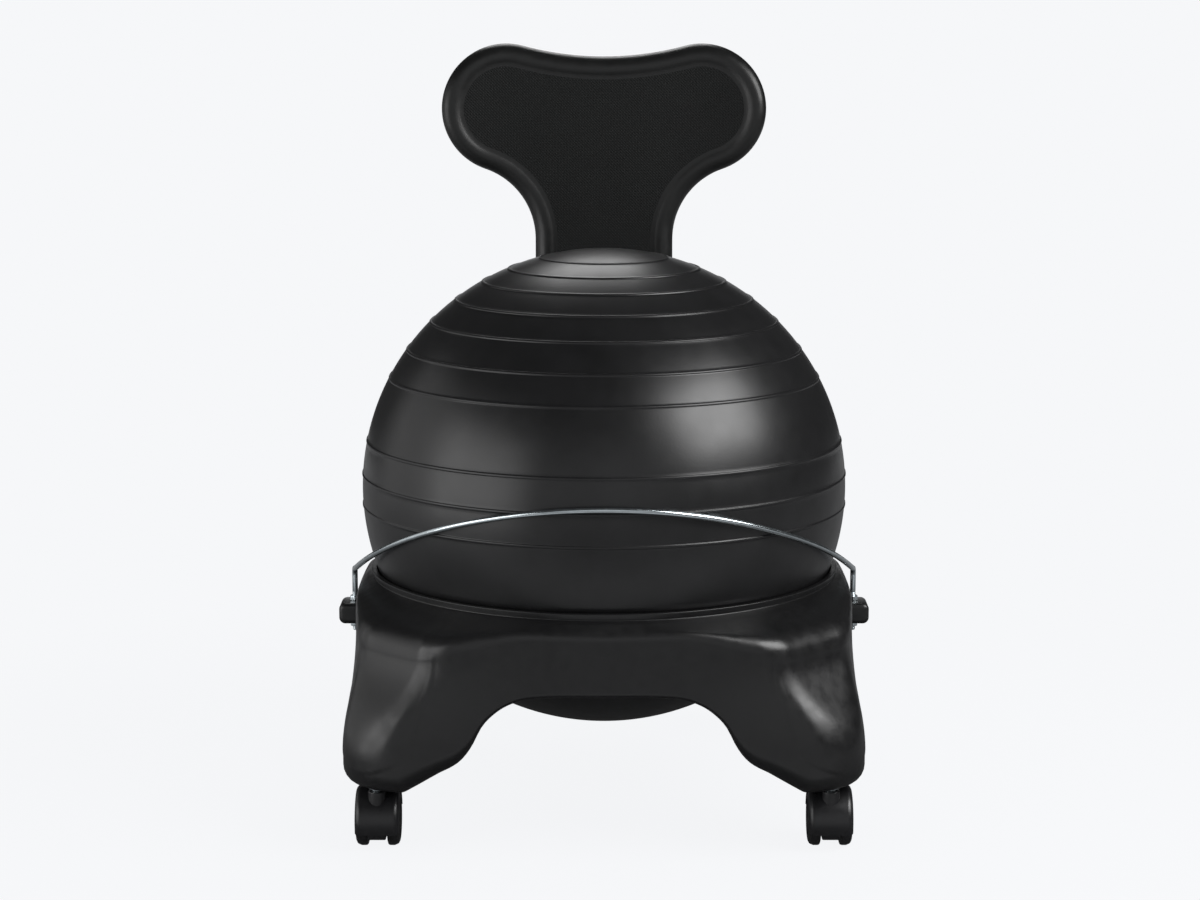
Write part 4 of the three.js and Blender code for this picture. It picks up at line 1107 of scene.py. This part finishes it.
def socket_part():
    foot, flange = SOCKET_FOOT, SOCKET_FOOT + SOCKET_FLANGE
    profile = [(SOCKET_BORE, foot), (SOCKET_FLANGE_RADIUS, foot), (SOCKET_FLANGE_RADIUS, flange),
               (SOCKET_RADIUS, flange), (SOCKET_RADIUS, SOCKET_TOP), (SOCKET_BORE, SOCKET_TOP)]
    rounded = rounded_profile(profile + [profile[0]], SOCKET_ROUND)
    return turned(rounded[:-1], PART_SIDES, closed=True)


def lever_section(share):
    """Across the lever at a share of its length, from the eye's middle to the thumb's end."""
    half = LEVER_THICKNESS / 2
    if share < LEVER_EYE_SHARE:
        from_eye = (share + LEVER_SHIFT_SHARE) / LEVER_HEEL_SHARE
        half *= LEVER_NECK_SHARE + LEVER_SWELL_SHARE * sqrt(max(1 - from_eye ** 2, 0.0))
    start, stop = LEVER_GRIP_SHARES
    wave = sin((share - start) * LEVER_GRIP_WAVES * pi) if start < share < stop else 0.0
    end = clamp((1 - share) / LEVER_END_SHARE)
    width = LEVER_WIDTH / 2 * mix(LEVER_END_WIDTH_SHARE, 1.0, sqrt(end))
    thin = half * mix(LEVER_END_THIN_SHARE, 1.0, end)
    low, high = -thin, thin + LEVER_GRIP_HEIGHT * max(wave, 0.0)
    flat = width * LEVER_FLAT_SHARE
    low_edge, high_edge = low * LEVER_EDGE_SHARE, high * LEVER_EDGE_SHARE
    below = [(-width, low_edge), (-flat, low), (flat, low), (width, low_edge)]
    return below + [(width, high_edge), (flat, high), (-flat, high), (-width, high_edge)]


def lever_part():
    """The brake lever: a plate with a rounded eye, a thumb end and low grip ribs."""
    pivot = Vector(wheel_polar(LEVER_PIVOT_REACH, LEVER_PIVOT_ANGLE))
    tip = Vector(wheel_polar(LEVER_TIP_REACH, LEVER_TIP_ANGLE))
    length = (tip - pivot).length
    way = (tip - pivot).normalized()
    across = Vector((-way.y, way.x))
    rings = []
    for share in steps(LEVER_STEPS, -LEVER_HEEL_SHARE, 1.0):
        ring = []
        for x, z in lever_section(share):
            point = pivot + way * (share * length) + across * z
            ring.append((x, point.x, point.y))
        rings.append(ring)
    pin = along_x(turned(LEVER_PIN, LEVER_PIN_SIDES))
    return merged(loft(rings), placed(pin, 0, pivot.x, pivot.y))


def make_caster(place, x, y):
    body = f"caster_{place}"
    pieces = [("socket", "sleeve", socket_part(), "base", "socket_plastic"),
              ("stem", "pin", stem_part(), "base", "bright_steel"),
              ("hood", "shell", merged(hood_part(), web_part()), body, "caster_plastic"),
              ("axle", "pin", axle_part(), body, "bright_steel")]
    for kind, ending, part, rides_on, slot in pieces:
        name = f"caster_{kind}_{place}"
        add_piece(f"{name}_{ending}", placed(part, x, y, 0), rides_on, slot, name, sharp=40)
    for hand, side in HANDS:
        name = f"wheel_{place}_{hand}"
        part = placed(wheel_part(side), x, y, 0)
        add_piece(f"{name}_tread", part, name, "wheel_plastic", name, sharp=50)


def make_casters():
    """A caster under each leg, where the frame has its stem, with a brake lever on the rear ones."""
    for place in CASTER_PLACES:
        low, high = (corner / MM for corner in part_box(f"caster_stem_{place}"))
        x, y = (low.x + high.x) / 2, (low.y + high.y) / 2 - CHAIR_Y
        make_caster(place, x, y)
        if place.startswith("rear"):
            name = f"brake_lever_{place}"
            part = placed(lever_part(), x, y, 0)
            add_piece(f"{name}_plate", part, f"brake_{place}", "caster_plastic", name, sharp=50)


# The stage, lights and camera
PALE = (0.922, 0.930, 0.947, 1.0)
CAMERA_DISTANCE = 3.0
CAMERA_ELEVATION = 10.5
CAMERA_PITCH = 9.8165
CAMERA_LENS = 85.5
IMAGE_WIDTH = 1200
OBJECT_SHIFT = 4
CAMERA_SENSOR = 36
STAGE_HALF = 3.0
STUDIO_LIGHT = 0.45
STUDIO_DIM = 0.04
STUDIO_FRONT = 0.6
# In reflections the floor gets a painted shadow under and around the object, and painted light to the left
# and in front
FLOOR_DIM = 0.28
FLOOR_PAINTED_SHADOW = 0.06
FLOOR_LEFT = 0.5
FLOOR_FRONT_PAINTED_LIGHT = 0.62
SHADOW_NEAR = 0.96
LAMP_DISTANCE = 2.2

# Where reflections fade from dim to pale, by direction in the world and in metres on the floor
WORLD_BEHIND = (0.965, 0.997)
WORLD_FRONT = (-0.97, -0.75)
FLOOR_BEHIND_Y = (1.9, 2.8)
FLOOR_LEFT_X = (-1.1, -0.6)
FLOOR_LEFT_Y = (0.1, 0.5)
FLOOR_NEAR_Y = (-0.5, -0.36)
FLOOR_FAR_Y = (-0.95, -0.62)
FLOOR_AROUND = (0.3, 0.9)
SHADOW_FADE = (0.65, 1.0)

# Each lamp's name, its angles around and above, its width and height in metres and its watts
LAMPS = [("key", 62, 34.5, 1.5, 1.1, 48), ("fill", -60, 7, 1.8, 1.5, 20),
         ("side", -98, 8, 2.0, 2.0, 8), ("back", -176, 46, 0.8, 0.9, 8.5)]


def ray_kinds(tree):
    """Whether a ray comes from a reflection, and whether it comes straight from the eye."""
    path = node(tree, "ShaderNodeLightPath").outputs
    eye = math_node(tree, "MAXIMUM", path["Is Camera Ray"], path["Is Transmission Ray"])
    return path["Is Glossy Ray"], eye


def make_world():
    """Pale to the eye. Reflections find it pale behind the object, softly lit in front, and dim around."""
    world = bpy.data.worlds.new("studio")
    bpy.context.scene.world = world
    world.use_nodes = True
    tree = world.node_tree
    tree.nodes.clear()
    glossy, eye = ray_kinds(tree)
    way = axes_node(tree, node(tree, "ShaderNodeTexCoord").outputs["Generated"])
    backdrop = ranged(tree, way["Y"], STUDIO_DIM, 1.0, *WORLD_BEHIND)
    front = ranged(tree, way["Y"], STUDIO_FRONT, 0.0, *WORLD_FRONT)
    around = math_node(tree, "MAXIMUM", backdrop, front)
    reflected = ranged(tree, glossy, STUDIO_LIGHT, around, 0.0, 1.0)
    strength = ranged(tree, eye, reflected, 1.0, 0.0, 1.0)
    light = node(tree, "ShaderNodeBackground", {"Color": PALE, "Strength": strength})
    node(tree, "ShaderNodeOutputWorld", {"Surface": light.outputs[0]})


def floor_glow(tree, coords, reach):
    """How bright the floor is in reflections: dark under the object as a painted shadow, with painted light
    to the left and in front, and paler away from it.
    """
    place = axes_node(tree, coords)
    behind = ranged(tree, place["Y"], 0.0, 1.0, *FLOOR_BEHIND_Y)
    # Painted light on the floor to the left
    beside = ranged(tree, place["Y"], FLOOR_LEFT, 0.0, *FLOOR_LEFT_Y)
    left = math_node(tree, "MULTIPLY", ranged(tree, place["X"], 1.0, 0.0, *FLOOR_LEFT_X), beside)
    # Painted light on the floor in front
    near = ranged(tree, place["Y"], FLOOR_FRONT_PAINTED_LIGHT, 0.0, *FLOOR_NEAR_Y)
    front = math_node(tree, "MULTIPLY", ranged(tree, place["Y"], 0.0, 1.0, *FLOOR_FAR_Y), near)
    # Painted shadow, darkest under the object
    around = ranged(tree, reach, FLOOR_PAINTED_SHADOW, FLOOR_DIM, *FLOOR_AROUND)
    pale = math_node(tree, "MAXIMUM", behind, left)
    return math_node(tree, "MAXIMUM", pale, math_node(tree, "MAXIMUM", front, around))


def make_floor():
    """Pale to the eye, with the object's shadow near it. In reflections it has the glow above, with its
    painted shadow and painted light.
    """
    material = bpy.data.materials.new("pale_floor")
    material.use_nodes = True
    tree = material.node_tree
    tree.nodes.clear()
    glossy, eye = ray_kinds(tree)
    coords = node(tree, "ShaderNodeTexCoord").outputs["Object"]
    reach = node(tree, "ShaderNodeVectorMath", {0: coords}, operation="LENGTH").outputs["Value"]
    strength = ranged(tree, glossy, 1.0, floor_glow(tree, coords, reach), 0.0, 1.0)
    glow = node(tree, "ShaderNodeEmission", {"Color": PALE, "Strength": strength})
    share = math_node(tree, "MULTIPLY", eye, ranged(tree, reach, SHADOW_NEAR, 1.0, *SHADOW_FADE))
    share = math_node(tree, "MAXIMUM", share, glossy)
    matt = node(tree, "ShaderNodeBsdfDiffuse", {"Color": PALE})
    both = node(tree, "ShaderNodeMixShader", {0: share, 1: matt.outputs[0], 2: glow.outputs[0]})
    node(tree, "ShaderNodeOutputMaterial", {"Surface": both.outputs[0]})
    mesh = bpy.data.meshes.new("floor")
    s = STAGE_HALF
    mesh.from_pydata([(-s, -s, 0), (s, -s, 0), (s, s, 0), (-s, s, 0)], [], [(0, 1, 2, 3)])
    mesh.materials.append(material)
    floor = linked("floor", mesh)


def make_light(name, around, above, width, height, power):
    """A soft lamp aimed at the ball, at angles around from the front and above the ball's middle."""
    light = bpy.data.lights.new(name, "AREA")
    light.shape = "RECTANGLE"
    light.size, light.size_y = width, height
    light.energy = power
    turn, lift = radians(around), radians(above)
    way = Vector((sin(turn) * cos(lift), -cos(turn) * cos(lift), sin(lift)))
    lamp = linked(name, light)
    lamp.location = Vector((0, CHAIR_Y, BALL_CENTRE)) * MM + way * LAMP_DISTANCE
    lamp.rotation_euler = (-way).to_track_quat("-Z", "Y").to_euler()
    lamp.visible_camera = False


def make_camera():
    elevation = radians(CAMERA_ELEVATION)
    camera = linked("camera", bpy.data.cameras.new("camera"))
    back = CAMERA_DISTANCE * cos(elevation)
    camera.location = (0, CHAIR_Y * MM - back, BALL_CENTRE * MM + CAMERA_DISTANCE * sin(elevation))
    camera.rotation_euler = (radians(90 - CAMERA_PITCH), 0, 0)
    camera.data.lens = CAMERA_LENS
    camera.data.sensor_width = CAMERA_SENSOR
    camera.data.shift_x = -OBJECT_SHIFT / IMAGE_WIDTH
    bpy.context.scene.camera = camera
    bpy.context.scene.view_settings.view_transform = "Standard"


make_ball()
make_plug()
make_base()
make_ears()
make_boss()
make_bar()
make_nuts()
make_backrest()
make_posts()
make_knobs()
make_screws()
make_casters()
make_world()
make_floor()
for lamp in LAMPS:
    make_light(*lamp)
make_camera()
